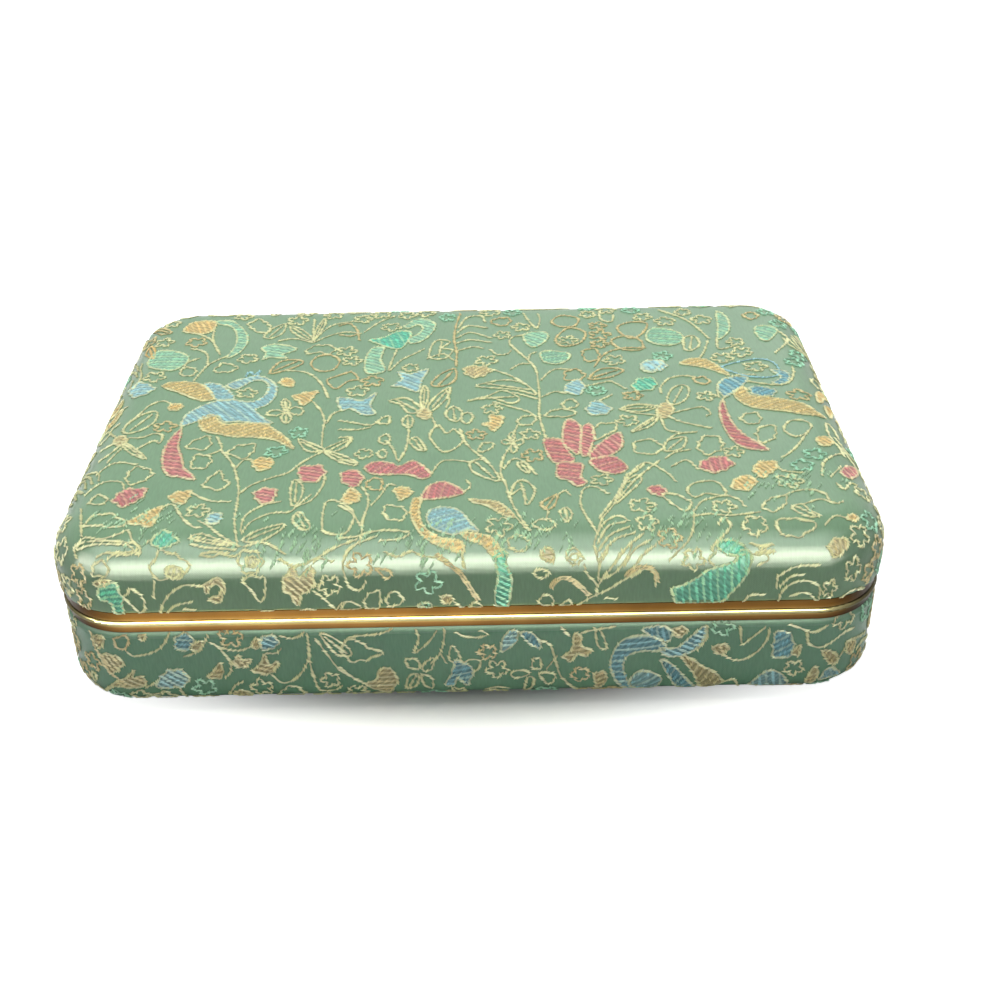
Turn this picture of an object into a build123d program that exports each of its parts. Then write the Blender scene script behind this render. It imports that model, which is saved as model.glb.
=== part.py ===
from build123d import *
import os

os.makedirs("parts", exist_ok=True)

# The closed case, in millimetres. The origin is under the middle of the sole, +Y to the hinges.
case_length = 254.0
case_depth = 173.5
lid_top = 60.7
corner_radius = 22.9
lid_edge_radius = 13.2
base_edge_radius = 9.7
base_inset = 0.5  # the base's walls stand this far inside the lid's

# The layers of the walls, from the outside in
brocade_thick = 0.8
wadding_thick = 2.0
floor_wadding_thick = 1.0
shell_thick = 1.5
lid_lining_thick = 0.8
sole_thick = 0.8
sole_margin = 2.0  # the sole's edge stands this far inside the floor's flat
turned_margin = 16.0  # the brocade is turned under the floor this far, past the sole's edge
roll_radius = 1.5  # where the padded cloth rounds in to the rim

# The gilt rims, two channels of thin sheet that meet at the seam
bead_top = 34.8
bead_size = 1.6
bead_flat = 0.1  # what is left straight of the bead's face between its round edges
seam_gap = 0.2
rim_sheet = 0.6
lid_flange_height = 2.9
base_flange_height = 2.45
lid_flange_recess = 0.7
base_flange_recess = 0.4
closing_gap = 0.3  # between the lid's inner leg and the lip that it closes over
lid_leg_height = 4.5
lip_rise = 2.5
base_leg_depth = 4.4

# The two hinges, let into the rims at the back
hinge_offset = 62.0
hinge_length = 32.0
lid_knuckle_length = 12.0
knuckle_gap = 0.25
knuckle_radius = 1.5
pin_radius = 0.75
pin_clearance = 0.05
pin_end = 0.3
axis_inset = 0.4
hinge_clearance = 0.3
leaf_thick = 0.7
leaf_height = 10.5
foot_height = 1.0
foot_gap = 0.2
open_angle = 100.0
stop_tab_reach = 1.8
stop_tab_thick = 0.8
rivet_radius = 0.8
rivet_head_radius = 1.5
rivet_head_height = 0.6
rivet_tail_height = 0.4
leaf_rivet_offset = 11.0
leaf_rivet_edge = 2.5

# The snap catch, a bowed flat spring at the middle of the front
spring_width = 14.0
spring_thick = 0.4
spring_touch_gap = 0.1
spring_flat = 0.8
spring_bow = 1.8
catch_rivet_offset = 4.0
catch_rivet_radius = 0.6
catch_head_radius = 1.0

# The fittings inside the lid
lid_pad_thick = 5.0
lid_pad_edge = 3.5
mirror_end_margin = 39.0  # from the case's ends to the mirror
mirror_side_margin = 36.75
mirror_radius = 6.0
mirror_thick = 2.5
backing_thick = 3.0
frame_wall = 1.2
frame_lap = 2.5
frame_lip = 0.7
fitting_gap = 0.3

# The fittings inside the base
left_bay_width = 72.0
ring_bay_depth = 86.0
front_bay_depth = 76.0
divider_thick = 3.0
divider_height = 19.0
divider_edge = 1.0
roll_count = 5
roll_height = 15.0
roll_gap = 0.4
roll_round = 6.4
roll_end_round = 3.0
floor_pad_thick = 4.0
floor_pad_crown = 0.8
floor_pad_edge = 1.8
pad_corner = 3.0

overrun = 5.0  # how far a cutting block passes the face that it cuts

# Heights, worked out from the bead up and down
lid_rim_bottom = bead_top + seam_gap
axis_height = bead_top + seam_gap / 2
lid_flange_top = lid_rim_bottom + lid_flange_height
lid_channel = lid_rim_bottom + rim_sheet
bead_bottom = bead_top - bead_size
bead_round = (bead_size - bead_flat) / 2
base_flange_bottom = bead_bottom - base_flange_height
base_channel = bead_top - rim_sheet
lip_top = bead_top + lip_rise
base_leg_bottom = bead_top - base_leg_depth

# Insets from the lid's outline, worked out layer by layer
lid_wadding_face = brocade_thick
lid_shell_face = lid_wadding_face + wadding_thick
lid_lining_face = lid_shell_face + shell_thick
lid_leg_face = lid_lining_face + lid_lining_thick
lid_leg_inside = lid_leg_face + rim_sheet
lip_face = lid_leg_inside + closing_gap
lip_inside = lip_face + rim_sheet
base_wadding_face = base_inset + brocade_thick
base_shell_face = base_wadding_face + wadding_thick
base_lining_face = base_shell_face + shell_thick
base_flange_face = base_inset + base_flange_recess
lid_tuck_face = lid_flange_recess + rim_sheet
base_tuck_face = base_flange_face + rim_sheet

# Floors and ceilings
brocade_bottom = sole_thick
wadding_bottom = brocade_bottom + brocade_thick
shell_bottom = wadding_bottom + floor_wadding_thick
lining_bottom = shell_bottom + shell_thick
base_lining_thick = lip_face - base_lining_face
floor_height = lining_bottom + base_lining_thick
shell_top = lid_top - brocade_thick - wadding_thick
lining_top = shell_top - shell_thick
ceiling_height = lining_top - lid_lining_thick

# Round edges of the inner layers, so that each wall keeps its thickness round the bend
lid_shell_edge = lid_edge_radius - lid_shell_face
lid_cavity_edge = lid_edge_radius - lid_leg_face
base_shell_edge = base_edge_radius - brocade_thick - wadding_thick
base_cavity_edge = base_shell_edge - shell_thick - base_lining_thick


def outline(inset, mode=Mode.ADD):
    """The case's rounded outline, drawn in by inset on every side."""
    RectangleRounded(
        case_length - 2 * inset, case_depth - 2 * inset, corner_radius - inset, mode=mode
    )


def block(inset, bottom, top, mode=Mode.ADD):
    """A block of the case's outline between two heights."""
    with BuildSketch(Plane.XY.offset(bottom)) as plan:
        outline(inset)
    extrude(plan.sketch, amount=top - bottom, mode=mode)


def band(outer_inset, inner_inset, bottom, top, mode=Mode.ADD):
    """A level band that runs round the case between two insets and two heights."""
    with BuildSketch(Plane.XY.offset(bottom)) as plan:
        outline(outer_inset)
        outline(inner_inset, mode=Mode.SUBTRACT)
    extrude(plan.sketch, amount=top - bottom, mode=mode)


def padded_lid_form(inset, roll, tuck_face):
    """The padded lid, inset all over: round upper edge, and the lower edge tucked into the rim."""
    bottom = lid_flange_top + inset
    with BuildPart() as form:
        block(inset, bottom, lid_top - inset)
        fillet(form.faces().sort_by(Axis.Z)[-1].edges(), lid_edge_radius - inset)
        fillet(form.faces().sort_by(Axis.Z)[0].edges(), roll)
        block(tuck_face, lid_channel, bottom + roll_radius)
    return form.part


def stiff_lid_form(inset, top, edge_radius):
    """The stiff lid, inset all over, with a flat top and a round edge."""
    with BuildPart() as form:
        block(inset, lid_channel, top)
        fillet(form.faces().sort_by(Axis.Z)[-1].edges(), edge_radius)
    return form.part


def padded_base_form(inset, bottom, edge_radius, roll, tuck_face):
    """The padded base: round lower edge, rolled upper edge, and the edge tucked into the rim."""
    top = base_flange_bottom - inset + base_inset
    with BuildPart() as form:
        block(inset, bottom, top)
        fillet(form.faces().sort_by(Axis.Z)[0].edges(), edge_radius)
        fillet(form.faces().sort_by(Axis.Z)[-1].edges(), roll)
        block(tuck_face, top - roll_radius, base_channel)
    return form.part


def stiff_base_form(inset, bottom, top, edge_radius):
    """The stiff base, inset all over, with a round lower edge."""
    with BuildPart() as form:
        block(inset, bottom, top)
        fillet(form.faces().sort_by(Axis.Z)[0].edges(), edge_radius)
    return form.part


def back_box(x_middle, width, y_low, y_high, z_low, z_high):
    """A box that is cut out of the part being made, between heights and depths at the back."""
    with Locations((x_middle, y_low, z_low)):
        Box(
            width,
            y_high - y_low,
            z_high - z_low,
            align=(Align.CENTER, Align.MIN, Align.MIN),
            mode=Mode.SUBTRACT,
        )


# Hinges. The back of the lid is at back_y, and each hinge turns about axis_y and axis_height.
back_y = case_depth / 2
front_y = -case_depth / 2
axis_y = back_y - axis_inset
hinge_sides = {"left": -1, "right": 1}
base_knuckle_length = (hinge_length - lid_knuckle_length) / 2 - knuckle_gap
lid_leaf_y = back_y - lid_shell_face
base_leaf_y = back_y - base_shell_face
lid_leaf_bottom = axis_height + foot_gap
base_leaf_top = axis_height - foot_gap
rivet_spots = [
    side * hinge_offset + offset
    for side in hinge_sides.values()
    for offset in (-leaf_rivet_offset, leaf_rivet_offset)
]


def wall_rivets(spots, height, leaf_face):
    """Rivets through a leaf, whose outer face is at leaf_face, and the shell behind it."""
    outer_end = leaf_face + rivet_head_height
    inner_face = leaf_face - leaf_thick - shell_thick
    for start, length, radius in (
        (outer_end, rivet_head_height, rivet_head_radius),
        (leaf_face, leaf_thick + shell_thick, rivet_radius),
        (inner_face, rivet_tail_height, rivet_head_radius),
    ):
        with BuildSketch(Plane.XZ.offset(-start)) as section:
            with Locations([(spot, height) for spot in spots]):
                Circle(radius)
        extrude(section.sketch, amount=length)


# The rivets that hold the leaves are closed over under the lining
with BuildPart() as lid_hinge_rivets:
    wall_rivets(
        rivet_spots, lid_leaf_bottom + leaf_height - leaf_rivet_edge, lid_leaf_y + leaf_thick
    )
lid_hinge_rivets.part.label = "lid_hinge_rivets"
export_step(lid_hinge_rivets.part, "parts/lid_hinge_rivets.step")

with BuildPart() as base_hinge_rivets:
    wall_rivets(
        rivet_spots, base_leaf_top - leaf_height + leaf_rivet_edge, base_leaf_y + leaf_thick
    )
base_hinge_rivets.part.label = "base_hinge_rivets"
export_step(base_hinge_rivets.part, "parts/base_hinge_rivets.step")

lid_leaves = []
base_leaves = []
for side_name, side in hinge_sides.items():
    hinge_x = side * hinge_offset
    hinge_start = hinge_x - hinge_length / 2

    # The lid's leaf lies on the outside of the shell. It has the middle knuckle and the stop tab.
    with BuildPart() as lid_hinge_leaf:
        with BuildSketch(Plane.YZ.offset(hinge_start)):
            with Locations((lid_leaf_y, lid_leaf_bottom)):
                Rectangle(leaf_thick, leaf_height, align=(Align.MIN, Align.MIN))
        extrude(amount=hinge_length)
        with BuildSketch(Plane.YZ.offset(hinge_x - lid_knuckle_length / 2)):
            with Locations((axis_y, axis_height)):
                Circle(knuckle_radius)
                Rectangle(
                    knuckle_radius + stop_tab_reach,
                    stop_tab_thick,
                    rotation=open_angle - 90,
                    align=(Align.MIN, Align.CENTER),
                )
            with Locations((lid_leaf_y, lid_leaf_bottom)):
                Rectangle(axis_y - lid_leaf_y, foot_height, align=(Align.MIN, Align.MIN))
        extrude(amount=lid_knuckle_length)
        with BuildSketch(Plane.YZ.offset(hinge_start)):
            with Locations((axis_y, axis_height)):
                Circle(pin_radius + pin_clearance)
        extrude(amount=hinge_length, mode=Mode.SUBTRACT)
        add(lid_hinge_rivets.part, mode=Mode.SUBTRACT)
    lid_hinge_leaf.part.label = f"lid_hinge_leaf_{side_name}"
    export_step(lid_hinge_leaf.part, f"parts/lid_hinge_leaf_{side_name}.step")
    lid_leaves.append(lid_hinge_leaf.part)

    # The base's leaf has the two outer knuckles, which grip the pin
    with BuildPart() as base_hinge_leaf:
        with BuildSketch(Plane.YZ.offset(hinge_start)):
            with Locations((base_leaf_y, base_leaf_top)):
                Rectangle(leaf_thick, leaf_height, align=(Align.MIN, Align.MAX))
        extrude(amount=hinge_length)
        for knuckle_start in (hinge_start, hinge_start + hinge_length - base_knuckle_length):
            with BuildSketch(Plane.YZ.offset(knuckle_start)):
                with Locations((axis_y, axis_height)):
                    Circle(knuckle_radius)
                with Locations((base_leaf_y, base_leaf_top)):
                    Rectangle(axis_y - base_leaf_y, foot_height, align=(Align.MIN, Align.MAX))
            extrude(amount=base_knuckle_length)
        with BuildSketch(Plane.YZ.offset(hinge_start)):
            with Locations((axis_y, axis_height)):
                Circle(pin_radius)
        extrude(amount=hinge_length, mode=Mode.SUBTRACT)
        add(base_hinge_rivets.part, mode=Mode.SUBTRACT)
    base_hinge_leaf.part.label = f"base_hinge_leaf_{side_name}"
    export_step(base_hinge_leaf.part, f"parts/base_hinge_leaf_{side_name}.step")
    base_leaves.append(base_hinge_leaf.part)

    with BuildPart() as hinge_pin:
        with BuildSketch(Plane.YZ.offset(hinge_start - pin_end)):
            with Locations((axis_y, axis_height)):
                Circle(pin_radius)
        extrude(amount=hinge_length + 2 * pin_end)
        chamfer(hinge_pin.edges().filter_by(GeomType.CIRCLE), pin_end)
    hinge_pin.part.label = f"hinge_pin_{side_name}"
    export_step(hinge_pin.part, f"parts/hinge_pin_{side_name}.step")


def hinge_pockets(inner_face):
    """Cuts the room for both hinges' knuckles, from inner_face out through the back."""
    for pocket_side in hinge_sides.values():
        back_box(
            pocket_side * hinge_offset,
            hinge_length + 2 * hinge_clearance,
            back_y - inner_face,
            back_y + overrun,
            axis_height - knuckle_radius - hinge_clearance,
            axis_height + knuckle_radius + hinge_clearance,
        )


# The lid's layers, each cut by the next one in
lid_outer = padded_lid_form(0, roll_radius, lid_tuck_face)
lid_padding = padded_lid_form(
    brocade_thick, roll_radius - brocade_thick, lid_tuck_face + brocade_thick
)
lid_stiffener = stiff_lid_form(lid_shell_face, shell_top, lid_shell_edge)
lid_inside = stiff_lid_form(lid_lining_face, lining_top, lid_shell_edge - shell_thick)
lid_cavity = stiff_lid_form(lid_leg_face, ceiling_height, lid_cavity_edge)

with BuildPart() as lid_brocade:
    add(lid_outer)
    add(lid_padding, mode=Mode.SUBTRACT)
    hinge_pockets(lid_shell_face)
    for leaf in lid_leaves:
        add(leaf, mode=Mode.SUBTRACT)
lid_brocade.part.label = "lid_brocade"
export_step(lid_brocade.part, "parts/lid_brocade.step")

with BuildPart() as lid_wadding:
    add(lid_padding)
    add(lid_stiffener, mode=Mode.SUBTRACT)
    hinge_pockets(lid_shell_face)
    add(lid_hinge_rivets.part, mode=Mode.SUBTRACT)
    for leaf in lid_leaves:
        add(leaf, mode=Mode.SUBTRACT)
lid_wadding.part.label = "lid_wadding"
export_step(lid_wadding.part, "parts/lid_wadding.step")

with BuildPart() as lid_shell:
    add(lid_stiffener)
    add(lid_inside, mode=Mode.SUBTRACT)
    add(lid_hinge_rivets.part, mode=Mode.SUBTRACT)
lid_shell.part.label = "lid_shell"
export_step(lid_shell.part, "parts/lid_shell.step")

with BuildPart() as lid_lining:
    add(lid_inside)
    add(lid_cavity, mode=Mode.SUBTRACT)
    add(lid_hinge_rivets.part, mode=Mode.SUBTRACT)
lid_lining.part.label = "lid_lining"
export_step(lid_lining.part, "parts/lid_lining.step")

# The lid's rim is a channel over the edges of the cloth, the shell and the lining
with BuildPart() as lid_rim:
    band(lid_flange_recess, lid_tuck_face, lid_rim_bottom, lid_flange_top)
    band(lid_flange_recess, lid_leg_inside, lid_rim_bottom, lid_channel)
    band(lid_leg_face, lid_leg_inside, lid_rim_bottom, lid_rim_bottom + lid_leg_height)
    hinge_pockets(lid_shell_face)
lid_rim.part.label = "lid_rim"
export_step(lid_rim.part, "parts/lid_rim.step")

# The base's layers
base_outer = padded_base_form(
    base_inset, brocade_bottom, base_edge_radius, roll_radius, base_tuck_face
)
base_padding = padded_base_form(
    base_wadding_face,
    wadding_bottom,
    base_edge_radius - brocade_thick,
    roll_radius - brocade_thick,
    base_tuck_face + brocade_thick,
)
base_stiffener = stiff_base_form(base_shell_face, shell_bottom, base_channel, base_shell_edge)
base_inside = stiff_base_form(
    base_lining_face, lining_bottom, base_channel, base_shell_edge - shell_thick
)
base_cavity = stiff_base_form(lip_face, floor_height, base_channel, base_cavity_edge)
sole_inset = base_inset + base_edge_radius + sole_margin
window_inset = sole_inset + turned_margin


def floor_window(bottom, top, mode=Mode.ADD):
    """The square-cornered window under the floor, inside the brocade's turned edge."""
    with BuildSketch(Plane.XY.offset(bottom)) as plan:
        Rectangle(case_length - 2 * window_inset, case_depth - 2 * window_inset)
    extrude(plan.sketch, amount=top - bottom, mode=mode)


with BuildPart() as base_brocade:
    add(base_outer)
    add(base_padding, mode=Mode.SUBTRACT)
    floor_window(brocade_bottom, wadding_bottom, mode=Mode.SUBTRACT)
    hinge_pockets(base_shell_face)
    for leaf in base_leaves:
        add(leaf, mode=Mode.SUBTRACT)
base_brocade.part.label = "base_brocade"
export_step(base_brocade.part, "parts/base_brocade.step")

with BuildPart() as base_wadding:
    add(base_padding)
    floor_window(brocade_bottom, shell_bottom)
    add(base_stiffener, mode=Mode.SUBTRACT)
    hinge_pockets(base_shell_face)
    add(base_hinge_rivets.part, mode=Mode.SUBTRACT)
    for leaf in base_leaves:
        add(leaf, mode=Mode.SUBTRACT)
base_wadding.part.label = "base_wadding"
export_step(base_wadding.part, "parts/base_wadding.step")

with BuildPart() as base_shell:
    add(base_stiffener)
    add(base_inside, mode=Mode.SUBTRACT)
    add(base_hinge_rivets.part, mode=Mode.SUBTRACT)
base_shell.part.label = "base_shell"
export_step(base_shell.part, "parts/base_shell.step")

# The sole card covers the brocade's turned edge, and is what the case stands on
with BuildPart() as base_sole:
    block(sole_inset, 0, sole_thick)
base_sole.part.label = "base_sole"
export_step(base_sole.part, "parts/base_sole.step")

# The catch spring is riveted to the inside of the base's rim and bows out through a window in the lip
spring_bottom = base_leg_bottom
catch_rivet_z = (base_leg_bottom + base_channel) / 2
spring_out = lid_leg_inside + spring_touch_gap
spring_side = [
    (lip_inside, spring_bottom),
    (lip_inside, bead_top),
    (spring_out, bead_top + spring_bow),
    (spring_out, bead_top + spring_bow + spring_flat),
    (lip_inside, bead_top + 2 * spring_bow + spring_flat),
]
with BuildPart() as catch_spring:
    with BuildSketch(Plane.YZ.offset(-spring_width / 2)):
        with BuildLine():
            Polyline(
                *[(front_y + inset, height) for inset, height in spring_side],
                *[(front_y + inset + spring_thick, height) for inset, height in spring_side[::-1]],
                close=True,
            )
        make_face()
    extrude(amount=spring_width)
    with BuildSketch(Plane.XZ.offset(-front_y)):
        with Locations([(spot, catch_rivet_z) for spot in (-catch_rivet_offset, catch_rivet_offset)]):
            Circle(catch_rivet_radius)
    extrude(amount=-lip_inside - overrun, mode=Mode.SUBTRACT)
catch_spring.part.label = "catch_spring"
export_step(catch_spring.part, "parts/catch_spring.step")

with BuildPart() as catch_rivets:
    for start, end, radius in (
        (base_lining_face, base_lining_face + rivet_tail_height, catch_head_radius),
        (base_lining_face, lip_inside + spring_thick, catch_rivet_radius),
        (lip_inside + spring_thick, lip_inside + spring_thick + rivet_tail_height, catch_head_radius),
    ):
        with BuildSketch(Plane.XZ.offset(-front_y - start)):
            with Locations([(spot, catch_rivet_z) for spot in (-catch_rivet_offset, catch_rivet_offset)]):
                Circle(radius)
        extrude(amount=start - end)
catch_rivets.part.label = "catch_rivets"
export_step(catch_rivets.part, "parts/catch_rivets.step")

with BuildPart() as base_lining:
    add(base_inside)
    add(base_cavity, mode=Mode.SUBTRACT)
    add(base_hinge_rivets.part, mode=Mode.SUBTRACT)
    add(catch_rivets.part, mode=Mode.SUBTRACT)
base_lining.part.label = "base_lining"
export_step(base_lining.part, "parts/base_lining.step")

# The base's rim has the bead that shows at the seam, and the lip that the lid closes over
with BuildPart() as base_rim:
    band(0, base_tuck_face, bead_bottom, bead_top)
    fillet(base_rim.faces().sort_by(Axis.Z)[-1].outer_wire().edges(), bead_round)
    fillet(base_rim.faces().sort_by(Axis.Z)[0].outer_wire().edges(), bead_round)
    band(base_flange_face, base_tuck_face, base_flange_bottom, bead_top)
    band(base_tuck_face, lip_inside, base_channel, bead_top)
    band(lip_face, lip_inside, base_leg_bottom, lip_top)
    hinge_pockets(base_shell_face)
    with Locations((0, front_y + lip_face - hinge_clearance, bead_top)):
        Box(
            spring_width + 2 * hinge_clearance,
            rim_sheet + 2 * hinge_clearance,
            lip_rise + overrun,
            align=(Align.CENTER, Align.MIN, Align.MIN),
            mode=Mode.SUBTRACT,
        )
    add(catch_rivets.part, mode=Mode.SUBTRACT)
base_rim.part.label = "base_rim"
export_step(base_rim.part, "parts/base_rim.step")

# The mirror hangs in a gilt frame under a card backing, in a window in the lid's padding
mirror_length = case_length - 2 * mirror_end_margin
mirror_depth = case_depth - 2 * mirror_side_margin
mirror_top = ceiling_height - backing_thick
mirror_bottom = mirror_top - mirror_thick
frame_bottom = mirror_bottom - frame_lip

with BuildPart() as mirror_backing:
    with BuildSketch(Plane.XY.offset(mirror_top)):
        RectangleRounded(mirror_length, mirror_depth, mirror_radius)
    extrude(amount=backing_thick)
mirror_backing.part.label = "mirror_backing"
export_step(mirror_backing.part, "parts/mirror_backing.step")

with BuildPart() as mirror:
    with BuildSketch(Plane.XY.offset(mirror_bottom)):
        RectangleRounded(mirror_length, mirror_depth, mirror_radius)
    extrude(amount=mirror_thick)
mirror.part.label = "mirror"
export_step(mirror.part, "parts/mirror.step")

with BuildPart() as mirror_frame:
    with BuildSketch(Plane.XY.offset(frame_bottom)):
        RectangleRounded(
            mirror_length + 2 * frame_wall, mirror_depth + 2 * frame_wall, mirror_radius + frame_wall
        )
        RectangleRounded(
            mirror_length - 2 * frame_lap,
            mirror_depth - 2 * frame_lap,
            mirror_radius - frame_lap,
            mode=Mode.SUBTRACT,
        )
    extrude(amount=ceiling_height - frame_bottom)
    add(mirror.part, mode=Mode.SUBTRACT)
    add(mirror_backing.part, mode=Mode.SUBTRACT)
mirror_frame.part.label = "mirror_frame"
export_step(mirror_frame.part, "parts/mirror_frame.step")

# The lid's pad lies on the flat of the ceiling and puffs out round the frame
lid_pad_inset = lid_leg_face + lid_cavity_edge + fitting_gap
with BuildPart() as lid_pad:
    block(lid_pad_inset, ceiling_height - lid_pad_thick, ceiling_height)
    with BuildSketch(Plane.XY.offset(ceiling_height)):
        RectangleRounded(
            mirror_length + 2 * frame_wall + 2 * fitting_gap,
            mirror_depth + 2 * frame_wall + 2 * fitting_gap,
            mirror_radius + frame_wall + fitting_gap,
        )
    extrude(amount=-lid_pad_thick - overrun, mode=Mode.SUBTRACT)
    fillet(lid_pad.faces().sort_by(Axis.Z)[0].edges(), lid_pad_edge)
lid_pad.part.label = "lid_pad"
export_step(lid_pad.part, "parts/lid_pad.step")

# The base is divided by satin-covered cards, whose ends follow the lining
inside_left = -case_length / 2 + lip_face
inside_right = case_length / 2 - lip_face
inside_front = front_y + lip_face
inside_back = back_y - lip_face
cross_left = inside_left + left_bay_width
cross_right = cross_left + divider_thick
left_divider_front = inside_front + ring_bay_depth
left_divider_back = left_divider_front + divider_thick
right_divider_front = inside_front + front_bay_depth
right_divider_back = right_divider_front + divider_thick
divider_top = floor_height + divider_height


def divider(x_low, x_high, y_low, y_high, along):
    """A divider between two corners, with its long upper edges eased, fitted to the cavity."""
    with BuildPart() as card:
        with Locations((x_low, y_low, floor_height)):
            Box(
                x_high - x_low,
                y_high - y_low,
                divider_height,
                align=(Align.MIN, Align.MIN, Align.MIN),
            )
        fillet(card.edges().group_by(Axis.Z)[-1].filter_by(along), divider_edge)
        add(base_cavity, mode=Mode.INTERSECT)
    return card.part


with BuildPart() as cross_divider:
    add(divider(cross_left, cross_right, inside_front, inside_back, Axis.Y))
cross_divider.part.label = "cross_divider"
export_step(cross_divider.part, "parts/cross_divider.step")

with BuildPart() as left_divider:
    add(divider(inside_left, cross_left, left_divider_front, left_divider_back, Axis.X))
left_divider.part.label = "left_divider"
export_step(left_divider.part, "parts/left_divider.step")

with BuildPart() as right_divider:
    add(divider(cross_right, inside_right, right_divider_front, right_divider_back, Axis.X))
right_divider.part.label = "right_divider"
export_step(right_divider.part, "parts/right_divider.step")

# The ring bay holds stuffed rolls side by side, across the bay
pad_wall_gap = base_cavity_edge + fitting_gap
roll_pitch = (ring_bay_depth - pad_wall_gap) / roll_count
roll_left = inside_left + pad_wall_gap
roll_length = cross_left - fitting_gap - roll_left

for number in range(roll_count):
    roll_middle = inside_front + pad_wall_gap + (number + 1 / 2) * roll_pitch
    with BuildPart() as ring_roll:
        with BuildSketch(Plane.YZ.offset(roll_left)):
            with Locations((roll_middle, floor_height)):
                RectangleRounded(
                    roll_pitch - roll_gap, roll_height, roll_round, align=(Align.CENTER, Align.MIN)
                )
        extrude(amount=roll_length)
        fillet(ring_roll.faces().sort_by(Axis.X)[0].edges(), roll_end_round)
        fillet(ring_roll.faces().sort_by(Axis.X)[-1].edges(), roll_end_round)
        block(lip_face + fitting_gap, floor_height, floor_height + roll_height, mode=Mode.INTERSECT)
    ring_roll.part.label = f"ring_roll_{number + 1}"
    export_step(ring_roll.part, f"parts/ring_roll_{number + 1}.step")


def floor_pad(x_low, x_high, y_low, y_high):
    """A thin stuffed pad on the floor of one bay, crowned from front to back, with puffed edges."""
    depth = y_high - y_low
    crown_round = (depth / 2) ** 2 / (2 * floor_pad_crown)
    pad_top = floor_height + floor_pad_thick
    with BuildPart() as pad:
        with BuildSketch(Plane.XY.offset(floor_height)) as plan:
            with Locations(((x_low + x_high) / 2, (y_low + y_high) / 2)):
                RectangleRounded(x_high - x_low, depth, pad_corner)
            outline(lip_face + pad_wall_gap, mode=Mode.INTERSECT)
        extrude(plan.sketch, amount=floor_pad_thick)
        with BuildSketch(Plane.YZ.offset(x_low - overrun)) as crown:
            with Locations(((y_low + y_high) / 2, pad_top - crown_round)):
                Circle(crown_round)
        extrude(crown.sketch, amount=x_high - x_low + 2 * overrun, mode=Mode.INTERSECT)
        fillet(pad.faces().sort_by(Axis.Z)[-1].edges(), floor_pad_edge)
    return pad.part


with BuildPart() as floor_pad_left:
    add(
        floor_pad(
            inside_left + pad_wall_gap,
            cross_left - fitting_gap,
            left_divider_back + fitting_gap,
            inside_back - pad_wall_gap,
        )
    )
floor_pad_left.part.label = "floor_pad_left"
export_step(floor_pad_left.part, "parts/floor_pad_left.step")

with BuildPart() as floor_pad_front:
    add(
        floor_pad(
            cross_right + fitting_gap,
            inside_right - pad_wall_gap,
            inside_front + pad_wall_gap,
            right_divider_front - fitting_gap,
        )
    )
floor_pad_front.part.label = "floor_pad_front"
export_step(floor_pad_front.part, "parts/floor_pad_front.step")

with BuildPart() as floor_pad_back:
    add(
        floor_pad(
            cross_right + fitting_gap,
            inside_right - pad_wall_gap,
            right_divider_back + fitting_gap,
            inside_back - pad_wall_gap,
        )
    )
floor_pad_back.part.label = "floor_pad_back"
export_step(floor_pad_back.part, "parts/floor_pad_back.step")
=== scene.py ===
import math

import bmesh
import bpy
import numpy as np
from mathutils import Matrix, Vector
from mathutils.geometry import delaunay_2d_cdt


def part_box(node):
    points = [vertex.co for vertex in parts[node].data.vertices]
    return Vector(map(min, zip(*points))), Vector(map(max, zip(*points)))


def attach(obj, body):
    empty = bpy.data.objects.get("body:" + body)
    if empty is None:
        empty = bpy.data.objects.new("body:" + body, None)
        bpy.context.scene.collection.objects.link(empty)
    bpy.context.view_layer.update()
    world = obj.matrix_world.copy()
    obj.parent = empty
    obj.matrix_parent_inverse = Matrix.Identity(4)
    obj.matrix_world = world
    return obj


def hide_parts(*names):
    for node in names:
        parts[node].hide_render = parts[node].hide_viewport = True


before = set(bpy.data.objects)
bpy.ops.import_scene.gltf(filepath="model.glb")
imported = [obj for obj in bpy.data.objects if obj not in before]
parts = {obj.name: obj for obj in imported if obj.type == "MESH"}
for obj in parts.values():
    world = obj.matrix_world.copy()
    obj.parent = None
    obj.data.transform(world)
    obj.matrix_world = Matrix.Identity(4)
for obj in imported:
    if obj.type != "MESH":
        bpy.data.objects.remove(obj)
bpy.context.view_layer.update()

# The viewpoint: the closed case seen from a little above and in front, nearly square on, with the
# camera rolled by a degree, as when a case is photographed by hand on a table.
case_low, case_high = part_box("base_rim")
case_length = case_high.x - case_low.x
pitch, yaw, roll = math.radians(32.04), math.radians(0.228), math.radians(-0.998)
forward = Vector((0, math.cos(pitch), -math.sin(pitch)))
rightward = Vector((1, 0, 0))
level = Matrix((rightward, forward.cross(rightward), forward))
view_axes = Matrix.Rotation(roll, 3, "Z") @ level @ Matrix.Rotation(yaw, 3, "Z")
aim = Vector((0, 0, 0.119)) * case_length
offset = Vector((-0.0391, -0.0284, 1.945)) * case_length


def into_scene(made):
    """Shows an object in the scene."""
    bpy.context.scene.collection.objects.link(made)


camera = bpy.data.objects.new("camera", bpy.data.cameras.new("camera"))
into_scene(camera)
camera.data.sensor_width = 36.0
camera.data.lens = 1.395 * camera.data.sensor_width
camera.data.clip_start = 0.01
axes = Matrix((view_axes[0], -view_axes[1], -view_axes[2])).transposed().to_4x4()
camera.matrix_world = Matrix.Translation(aim - view_axes.transposed() @ offset) @ axes
bpy.context.scene.camera = camera


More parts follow.
